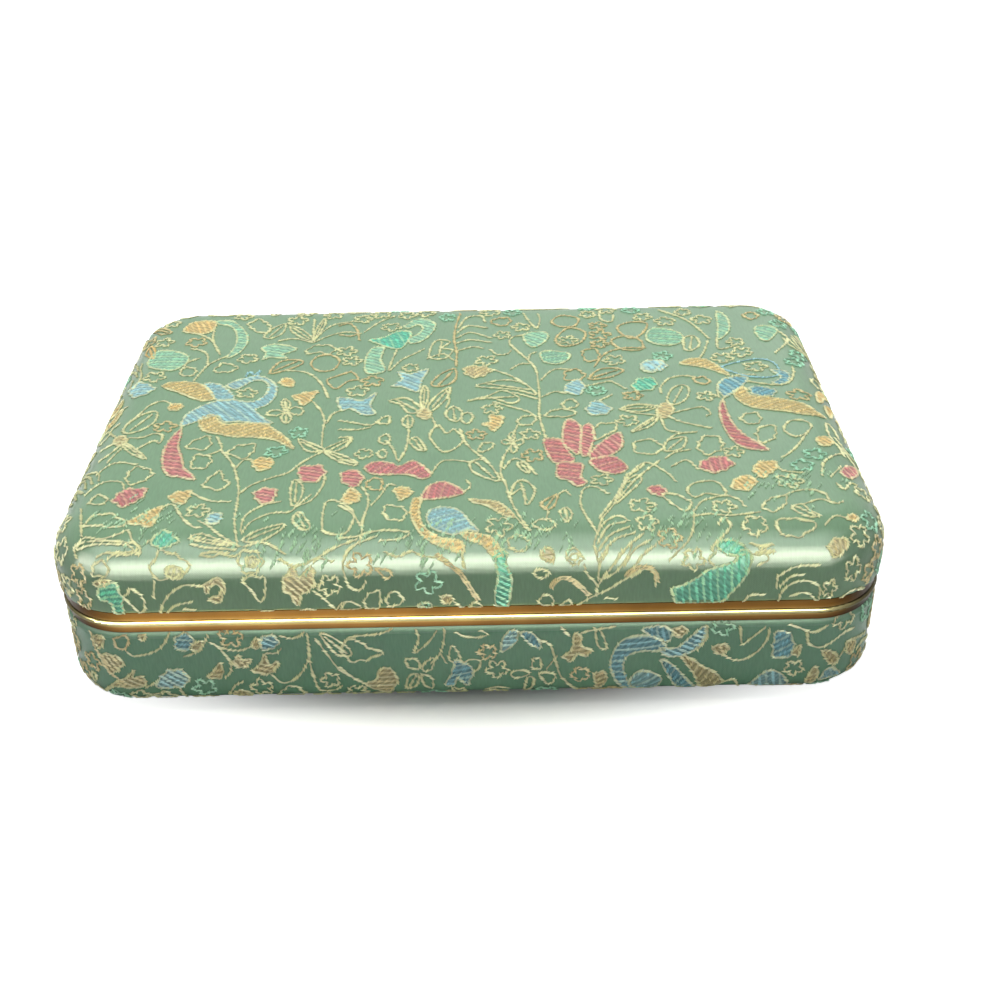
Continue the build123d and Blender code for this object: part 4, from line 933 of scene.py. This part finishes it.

# The base's figures: the same repeat of birds, vines and flowers, worked round the walls. The front
# is drawn in half millimetres, from the front's middle and down; the rest repeats it.
base_figures = """
tan:line -232,5 -231,16 -226,24 -224,32 -219,37 -214,41 tan:fill -228,21 -219,19 -213,24 -220,33 -225,32
tan:fill -230,7 -223,6 -226,15 -230,14 tan:loop -216,7 -211,4 -207,5 -209,12 -214,14 vine -209,16 -206,19
-198,18 -191,15 -186,10 -182,3 tan:fill -200,4 -196,4 -199,8 blue:fill -179,7 -174,3 -168,6 -170,12 -175,16
-179,13 tan:fill -169,11 -163,9 -165,16 -169,16 vine -175,20 -169,18 -163,12 -159,5 vine -158,10 -154,13
-151,18 -148,24 -148,32 -152,37 vine -154,13 -146,16 -139,16 -133,13 blue:fill -128,10 -125,6 -119,6 -117,12
-123,16 -128,15 tan:fill -133,11 -129,7 -128,14 -132,15 vine -125,19 -119,19 -116,16 tan:fill -162,36 -158,31
-154,26 -153,33 -156,38 tan:fill -146,26 -142,20 -140,24 -135,23 -138,29 -144,29 tan:fill -134,32 -129,26
-126,20 -124,28 -118,25 -123,34 -130,35 vine -123,36 -118,42 -112,41 -106,36 -101,27 -99,17 -99,5 vine -99,17
-99,28 -97,42 -94,50 -86,50 -81,46 leaf -91,5 -85,7 -75,16 -74,22 -82,21 -88,12 vine -94,9 -88,21 -82,32
-75,38 vine -115,6 -109,8 -103,6 -101,4 sky:fill -195,40 -189,33 -184,30 -177,32 -175,37 -178,43 -186,44
-192,45 tan:fill -231,51 -220,40 -213,36 -207,30 -209,36 -203,35 -202,42 -212,44 -222,44 vine -202,44 -197,41
vine -152,53 -147,44 -142,41 tan:fill -149,53 -144,48 -138,52 -140,58 leaf -121,56 -116,47 -110,45 -105,52
-108,59 vine -181,45 -179,58 leaf -239,39 -235,39 -238,46 vine -74,8 -67,7 -56,6 -48,3 leaf -79,13 -70,10
-63,16 -55,21 -67,26 -76,25 vine -81,31 -75,38 -67,44 tan:fill -67,44 -59,41 -58,34 -53,33 -47,36 -47,43
-50,52 -57,53 -62,48 vine -33,4 -32,11 -35,21 -26,13 -21,5 leaf -40,26 -34,26 -32,33 -39,32 leaf -31,33 -26,26
-23,27 -26,35 leaf -41,49 -39,39 -33,38 -35,47 leaf -31,38 -25,41 -25,50 -30,46 vine -16,4 -17,14 -20,23
-25,29 vine -19,22 -16,29 blue:fill -16,46 -12,35 -10,26 -6,30 0,32 0,38 -3,47 -9,41 -12,48 vine -11,29 -14,26
-12,16 -8,22 -6,29 -1,27 5,28 4,34 0,37 vine -9,6 -4,9 4,10 10,8 6,5 sky:fill 18,21 19,12 23,6 28,6 27,14
21,20 blue:fill 30,7 36,7 41,13 42,19 36,16 32,11 vine 42,13 48,17 51,28 54,40 58,46 64,55 vine 52,26 46,35
leaf 37,34 38,27 42,28 42,35 leaf 35,39 28,42 24,40 25,37 32,36 leaf 42,38 51,40 48,48 43,43 leaf 38,43 36,53
32,55 34,42 tan:fill 56,26 61,21 63,9 67,10 67,18 73,22 70,26 65,24 60,30 vine 55,4 59,10 vine 75,5 77,18
82,21 82,17 79,8 vine 67,8 75,6 87,4 tan:fill 75,40 78,39 81,38 83,45 78,54 76,47 vine 8,53 15,50 22,52
blue:fill 113,13 105,11 94,13 88,20 85,32 88,44 95,55 100,56 94,41 93,32 96,26 104,23 114,23 119,21 blue:fill
115,21 125,21 133,13 141,5 142,12 137,22 128,27 119,27 blue:fill 104,7 113,4 121,7 121,15 112,13 tan:fill
122,7 128,5 131,8 127,13 124,12 blue:fill 116,30 123,34 132,45 139,58 130,58 121,42 tan:fill 128,27 135,30
142,36 150,41 155,50 144,58 137,42 sky:fill 97,48 102,39 111,40 117,46 111,58 101,56 vine 143,5 143,14 138,23
tan:fill 147,21 155,19 157,23 152,27 vine 154,27 160,31 167,31 175,25 180,16 181,8 vine 163,6 165,19 169,16
178,7 blue:fill 184,22 185,12 190,9 196,17 196,27 190,31 185,28 tan:fill 196,26 201,21 200,29 vine 193,5 200,8
208,11 216,7 vine 204,11 206,20 213,23 219,21 229,15 236,15 tan:fill 215,26 223,29 227,37 221,37 vine 225,38
230,30 235,24 251,27 tan:fill 232,24 239,25 240,33 234,34 tan:fill 207,50 211,38 214,43 212,53 sky:fill 216,49
221,40 230,48 223,49 sky:fill 173,54 177,45 184,40 193,45 196,57 186,59 vine 155,50 162,47 166,57 vine 243,34
250,32 264,38
"""
base_strokes = read_figures(base_figures)
third = np.array((base_round / 3, 0))
for kind, tone, points in list(base_strokes):
    base_strokes.append((kind, tone, points * (-1, 1) + third))
    base_strokes.append((kind, tone, points - third))
rows = grid_of((-base_round / 2, 3 * mm), (base_round / 2, 33 * mm), 3.4 * mm)
base_strokes += sprigs(base_strokes, rows, clear=4.0 * mm, seed=5)
base_figures_made = draw_figures("base_figures", base_strokes, lay_on_base, "base", shade=0.95)


# The gilt rims: two channels of brass-plated strip, bent round the mouths of lid and base. The
# colour holds painted light: a bright highlight along the bead, and painted shade on the flanges,
# towards the right-hand end and round the corners.
def coat(material, *names):
    """Gives CAD nodes their material."""
    for name in names:
        parts[name].data.materials.clear()
        parts[name].data.materials.append(material)


gilt = Finish("gilt_rim", Metallic=1.0, Roughness=0.24)
place = gilt.place()
axis = gilt.node("ShaderNodeSeparateXYZ", {"Vector": place}).outputs
rim_foot, rim_head = 30.75 * mm, 37.95 * mm
# painted highlight on the bead and painted shade on the flanges, set by height
plating_with_painted_light = gilt.ramp(
    gilt.remap(axis["Z"], (rim_foot, rim_head), (0, 1)),
    (0.0, (0.24, 0.12, 0.04)), (0.2, (0.44, 0.23, 0.07)), (0.29, (0.8, 0.55, 0.2)),
    (0.36, (1.0, 0.90, 0.45)), (0.54, (1.0, 0.88, 0.42)), (0.61, (0.66, 0.38, 0.11)),
    (0.75, (0.46, 0.22, 0.05)), (1.0, (0.36, 0.19, 0.06)),
)
# painted shade: the gilt grows darker from left to right
along = gilt.remap(axis["X"], (-0.05, 0.07), (1.0, 0.55), interpolation_type="SMOOTHSTEP")
from_middle = gilt.math("ABSOLUTE", axis["X"])
# painted shade: the gilt darkens round the corners and along the ends
painted_corner_shade = gilt.remap(from_middle, (0.098, 0.121), (1.0, 0.14), interpolation_type="SMOOTHSTEP")
patina = gilt.remap(gilt.noise(place, 90.0, 3.0), (0.3, 0.7), (0.85, 1.1))
shade = gilt.math("MULTIPLY", gilt.math("MULTIPLY", along, painted_corner_shade), patina)
gilded = gilt.node("ShaderNodeVectorMath", {0: plating_with_painted_light, "Scale": shade}, operation="SCALE")
gilt.set(Base_Color=gilded.outputs["Vector"])
dents = gilt.bump(gilt.noise(place, 420.0, 1.0), 0.00012)
gilt.tree.links.new(gilt.remap(painted_corner_shade, (1.0, 0.3), (0.06, 0.7)), dents.inputs["Strength"])
coat(gilt.material, "lid_rim", "base_rim")

# The waddings: a layer of combed cotton under each brocade cover. It rounds the card's edges and
# can't be seen once the covers are on.
cotton = Finish("cotton_wadding", Roughness=0.95)
tufts = cotton.noise(cotton.place(), 260.0, 5.0, Roughness=0.7)
cotton.set(Base_Color=cotton.ramp(tufts, (0.3, (0.66, 0.63, 0.56)), (0.7, (0.86, 0.84, 0.79))))
cotton.bump(tufts, 0.0008)
wadding_lift = -0.9 * mm  # from the cover's own surface
wadding_thick = 1.6 * mm


def wadding(name, points, faces, body):
    """A layer of cotton under a body's cover."""
    made = make_piece(name, points, faces, body)
    thickness(made, wadding_thick)
    made.data.materials.append(cotton.material)
    return made


soft_rings = len(inner_shares) + np.count_nonzero(lid_rings < lid_bent + 6.5 * mm)
soft_spots = flat_spots[:1 + soft_rings * len(lid_stations)]
soft_points, _ = lay_on_lid(soft_spots[:, 0], soft_spots[:, 1], wadding_lift)
soft_faces = [face for face in lid_faces if max(face) < len(soft_spots)]
lid_soft = wadding("lid_cotton", soft_points, soft_faces, "lid")
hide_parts("lid_wadding")
soft_rows = (down_steps > 3.2 * mm) & (down_steps < base_reach - 0.2 * mm)
soft_points, _ = lay_on_base(ways[soft_rows].ravel(), downs[soft_rows].ravel(), wadding_lift)
soft_faces = faces_between(soft_rows.sum(), len(way_steps))
base_soft = wadding("base_cotton", soft_points, soft_faces, "base")
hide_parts("base_wadding")

# The shells and the sole: pressed grey-brown card under everything, and a card covered in plain
# green cotton that hides the turned-in brocade under the floor.
card = Finish("pressed_card", Roughness=0.85)
fibres = card.noise(card.place(), 420.0, 6.0, Roughness=0.65)
card.set(Base_Color=card.ramp(fibres, (0.3, (0.24, 0.19, 0.14)), (0.7, (0.38, 0.32, 0.24))))
card.bump(fibres, 0.0003)
wave_length = 0.314  # of a wave texture at a scale of one, in metres


def woven(name, light, dark, pitch, roughness, sheen):
    """Plain-woven or satin cloth with two sets of threads on the object's own axes."""
    cloth = Finish(name, Roughness=roughness, IOR=1.5, Sheen_Weight=sheen, Sheen_Roughness=0.35)
    place = cloth.place()
    warp, weft = (cloth.wave(place, axis, wave_length / pitch, 0.4) for axis in ("X", "Y"))
    crossed = cloth.math("MULTIPLY", warp, weft)
    shade = cloth.math("ADD", cloth.noise(place, 34.0, 3.0), crossed)
    cloth.set(Base_Color=cloth.ramp(shade, (0.35, dark), (0.9, light)))
    cloth.bump(crossed, 0.0001, Strength=0.3)
    return cloth.material


sole_cloth = woven(
    "sole_cotton", (0.10, 0.17, 0.11), (0.06, 0.11, 0.07), pitch=0.5 * mm, roughness=0.8, sheen=0.3)
coat(card.material, "lid_shell", "base_shell")
coat(sole_cloth, "base_sole")

# The linings and dividers: ivory-gold satin pasted over thin card, inside the lid and the base.
# The dividers stand on the base's lining and part it into the trays.
satin = woven(
    "ivory_satin", (0.80, 0.68, 0.43), (0.66, 0.53, 0.31), pitch=0.35 * mm, roughness=0.36, sheen=0.25)
coat(satin, "lid_lining", "base_lining", "cross_divider", "left_divider", "right_divider")


# The hinges and the catch: small brass leaves and rivets, steel pins, and a bent steel spring strip
# at the front that the lid's rim snaps over.
def metal(name, light, dark, roughness, stretch):
    """Drawn or stamped metal with fine marks along one axis."""
    made = Finish(name, Metallic=1.0)
    drawn = made.node("ShaderNodeMapping", {"Vector": made.place()}, Scale=stretch)
    marks = made.noise(drawn.outputs["Vector"], 600.0, 4.0)
    gloss = made.remap(marks, (0, 1), (roughness * 0.75, roughness * 1.3))
    made.set(Base_Color=made.ramp(marks, (0.3, dark), (0.7, light)), Roughness=gloss)
    made.bump(marks, 0.00005, Strength=0.25)
    return made.material


brass = metal(
    "stamped_brass", (0.80, 0.56, 0.24), (0.62, 0.40, 0.15), roughness=0.3, stretch=(0.15, 1, 1))
steel = metal(
    "drawn_steel", (0.62, 0.62, 0.60), (0.45, 0.45, 0.44), roughness=0.28, stretch=(0.1, 1, 1))
coat(
    brass, "lid_hinge_leaf_left", "lid_hinge_leaf_right", "base_hinge_leaf_left", "base_hinge_leaf_right",
    "lid_hinge_rivets", "base_hinge_rivets", "catch_rivets",
)
coat(steel, "hinge_pin_left", "hinge_pin_right", "catch_spring")

# The mirror: thin silvered glass on a card backing, held by a narrow gilt frame in the lid's pad.
# The glass is plain and flat, with the faint haze of a wiped mirror.
glass = Finish("mirror_glass", Metallic=1.0)
haze = glass.noise(glass.place(), 30.0, 3.0)
glass.set(
    Base_Color=glass.ramp(haze, (0.3, (0.86, 0.89, 0.88)), (0.7, (0.90, 0.92, 0.91))),
    Roughness=glass.remap(haze, (0, 1), (0.01, 0.05)),
)
frame_gilt = metal(
    "frame_gilt", (0.86, 0.62, 0.27), (0.70, 0.46, 0.17), roughness=0.22, stretch=(1, 1, 1))
coat(glass.material, "mirror")
coat(frame_gilt, "mirror_frame")
coat(card.material, "mirror_backing")


# The stuffed pieces: the lid's pad round the mirror, five ring rolls, and three floor pads. Each is
# satin sewn over stuffing, which swells it from a slightly smaller form until it fills its place,
# flat on the board under it and soft at its edges.
def stuffed(node, body, voxel, swell, cap, frames=20):
    """A stuffed satin piece in the space of a CAD solid, swelled by a cloth simulation."""
    scene = bpy.context.scene
    low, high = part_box(node)
    middle, half = np.array((low + high) / 2), np.array((high - low) / 2)
    piece = bpy.data.objects.new("stuffed_" + node, parts[node].data.copy())
    into_scene(piece)
    piece.data.materials.clear()
    shape = piece.modifiers.new("even_mesh", "REMESH")
    shape.mode = "VOXEL"
    shape.voxel_size = voxel
    even = bpy.data.meshes.new_from_object(piece.evaluated_get(bpy.context.evaluated_depsgraph_get()))
    piece.modifiers.clear()
    piece.data = even
    even.name = piece.name
    rest = np.array([vertex.co[:] for vertex in even.vertices])
    # smaller by the swell, and gathered a little more towards the middle of its length and width
    share = np.clip(np.abs((rest - middle) / half), 0, 1)
    rest = middle + (rest - middle) * (1 - swell / half) * (1 - np.array((0.012, 0.012, 0)) * (1 - share**2))
    even.vertices.foreach_set("co", rest.ravel())
    even.update()
    scene.frame_set(1)
    cloth = piece.modifiers.new("stuffing", "CLOTH")
    cloth.settings.quality = 5
    cloth.settings.mass = 0.15
    cloth.settings.use_pressure = True
    cloth.settings.uniform_pressure_force = 4.0
    cloth.settings.effector_weights.gravity = 0
    cloth.point_cache.frame_start, cloth.point_cache.frame_end = 1, frames
    for number in range(1, frames + 1):
        scene.frame_set(number)
    swollen = piece.evaluated_get(bpy.context.evaluated_depsgraph_get()).to_mesh()
    moved = np.array([vertex.co[:] for vertex in swollen.vertices]) - rest
    piece.modifiers.clear()
    scene.frame_set(1)
    length = np.maximum(np.linalg.norm(moved, axis=1), 1e-9)[:, None]
    rest = np.clip(rest + moved * np.minimum(1, cap / length), np.array(low), np.array(high))
    even.vertices.foreach_set("co", rest.ravel())
    even.shade_smooth()
    fine = piece.modifiers.new("fine", "SUBSURF")
    fine.levels = fine.render_levels = 1
    piece.data.materials.append(satin)
    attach(piece, body)
    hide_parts(node)


stuffed("lid_pad", "lid", voxel=2.2 * mm, swell=0.5 * mm, cap=0.6 * mm)
for number in range(1, 6):
    stuffed(f"ring_roll_{number}", "base", voxel=1.8 * mm, swell=0.6 * mm, cap=0.7 * mm)
for name in ("floor_pad_left", "floor_pad_front", "floor_pad_back"):
    stuffed(name, "base", voxel=2.0 * mm, swell=0.4 * mm, cap=0.5 * mm)

# The table: a plain pale top that fades to white away from the case. A wide panel lights it from
# overhead, another from high in front and faint ones from behind, and slim bars close in front
# draw the sheen of the case's edge. None of it is part of the case.
table = bpy.data.objects.new("table", bpy.data.meshes.new("table"))
table.data.from_pydata([(-3, -3, 0), (3, -3, 0), (3, 3, 0), (-3, 3, 0)], [], [(0, 1, 2, 3)])
into_scene(table)
white = Finish(
    "white_table", Base_Color=(0.85, 0.85, 0.84, 1), Roughness=0.9, Specular_IOR_Level=0.1,
    Emission_Color=(1, 1, 1, 1),
)
oval = white.node("ShaderNodeVectorMath", {0: white.place()}, operation="MULTIPLY")
oval.inputs[1].default_value = (1, 1.35, 0)
away = white.node("ShaderNodeVectorMath", {0: oval.outputs["Vector"]}, operation="LENGTH").outputs["Value"]
fade = white.remap(away, (0.1, 0.165), (0, 1), interpolation_type="SMOOTHSTEP")
camera_ray = white.node("ShaderNodeLightPath").outputs["Is Camera Ray"]
white.set(Emission_Strength=white.math("MULTIPLY", fade, camera_ray))
table.data.materials.append(white.material)

# The surround: white where the camera sees it or a surface mirrors it, and dim as a light
world = bpy.data.worlds.new("surround")
bpy.context.scene.world = world
world.use_nodes = True
surround = Nodes(world.node_tree)
surround.tree.nodes.clear()
ray = surround.node("ShaderNodeLightPath").outputs
seen = surround.math("MAXIMUM", ray["Is Camera Ray"], ray["Is Transmission Ray"])
seen = surround.math("MAXIMUM", seen, ray["Is Glossy Ray"])
lit = surround.node("ShaderNodeBackground", Color=(1, 1, 1, 1), Strength=0.16).outputs[0]
shown = surround.node("ShaderNodeBackground", Color=(1, 1, 1, 1), Strength=1.0).outputs[0]
choice = surround.node("ShaderNodeMixShader", {0: seen, 1: lit, 2: shown}).outputs[0]
surround.node("ShaderNodeOutputWorld", {"Surface": choice})


def panel(name, at, towards, width, height, power, colour=(1, 1, 1)):
    """A soft rectangular lamp."""
    lamp = bpy.data.objects.new(name, bpy.data.lights.new(name, "AREA"))
    into_scene(lamp)
    lamp.data.shape = "RECTANGLE"
    lamp.data.size, lamp.data.size_y = width, height
    lamp.data.energy = power
    lamp.data.color = colour
    turn = (Vector(at) - Vector(towards)).to_track_quat("Z", "Y")
    lamp.matrix_world = Matrix.Translation(at) @ turn.to_matrix().to_4x4()
    return lamp


top_panel = panel(
    "overhead_panel", (-0.08, 0.22, 1.3), (0, 0.05, 0.05), width=0.9, height=0.9, power=17.5)
top_panel.visible_glossy = False
soft_panel = panel(
    "upper_panel", (-0.15, -0.5, 0.86), (0, 0, 0.05), width=1.6, height=0.8, power=17.0,
    colour=(0.9, 1.0, 0.88),
)
soft_panel.visible_diffuse = False
rear_width = 0.17
for step in range(4):
    at = (rear_width * step - 0.05, 1.35, 0.9)
    rear_panel = panel(
        f"rear_panel_{step}", at, (0, 0, 0.05), width=rear_width, height=1.3, power=0.1 * (step + 1))
    rear_panel.visible_diffuse = False
# The bars draw the sheen along the front edge and round its left corner. They light the covers and
# the rims only, and so don't stand in the mirror when the lid is up.
outer_pieces = bpy.data.collections.new("outer_pieces")
covers = (lid_cover, base_cover, *lid_figures_made, *base_figures_made)
for piece in (*covers, parts["lid_rim"], parts["base_rim"]):
    outer_pieces.objects.link(piece)
front_edge, left_corner = (0.0025, -0.083, 0.05), (-0.119, -0.079, 0.05)
for name, at, towards, width, height, power in (
    ("edge_bar", (0.0025, -0.113, 0.0655), front_edge, 0.255, 0.0178, 0.215),
    ("low_bar", (0.0025, -0.113, 0.052), front_edge, 0.255, 0.006, 0.035),
    ("corner_bar", (-0.142, -0.102, 0.0655), left_corner, 0.036, 0.0178, 0.022),
):
    bar = panel(name, at, towards, width, height, power, (1.0, 1.0, 0.84))
    bar.visible_diffuse = bar.visible_camera = False
    bar.light_linking.receiver_collection = outer_pieces

bpy.context.scene.view_settings.view_transform = "Standard"
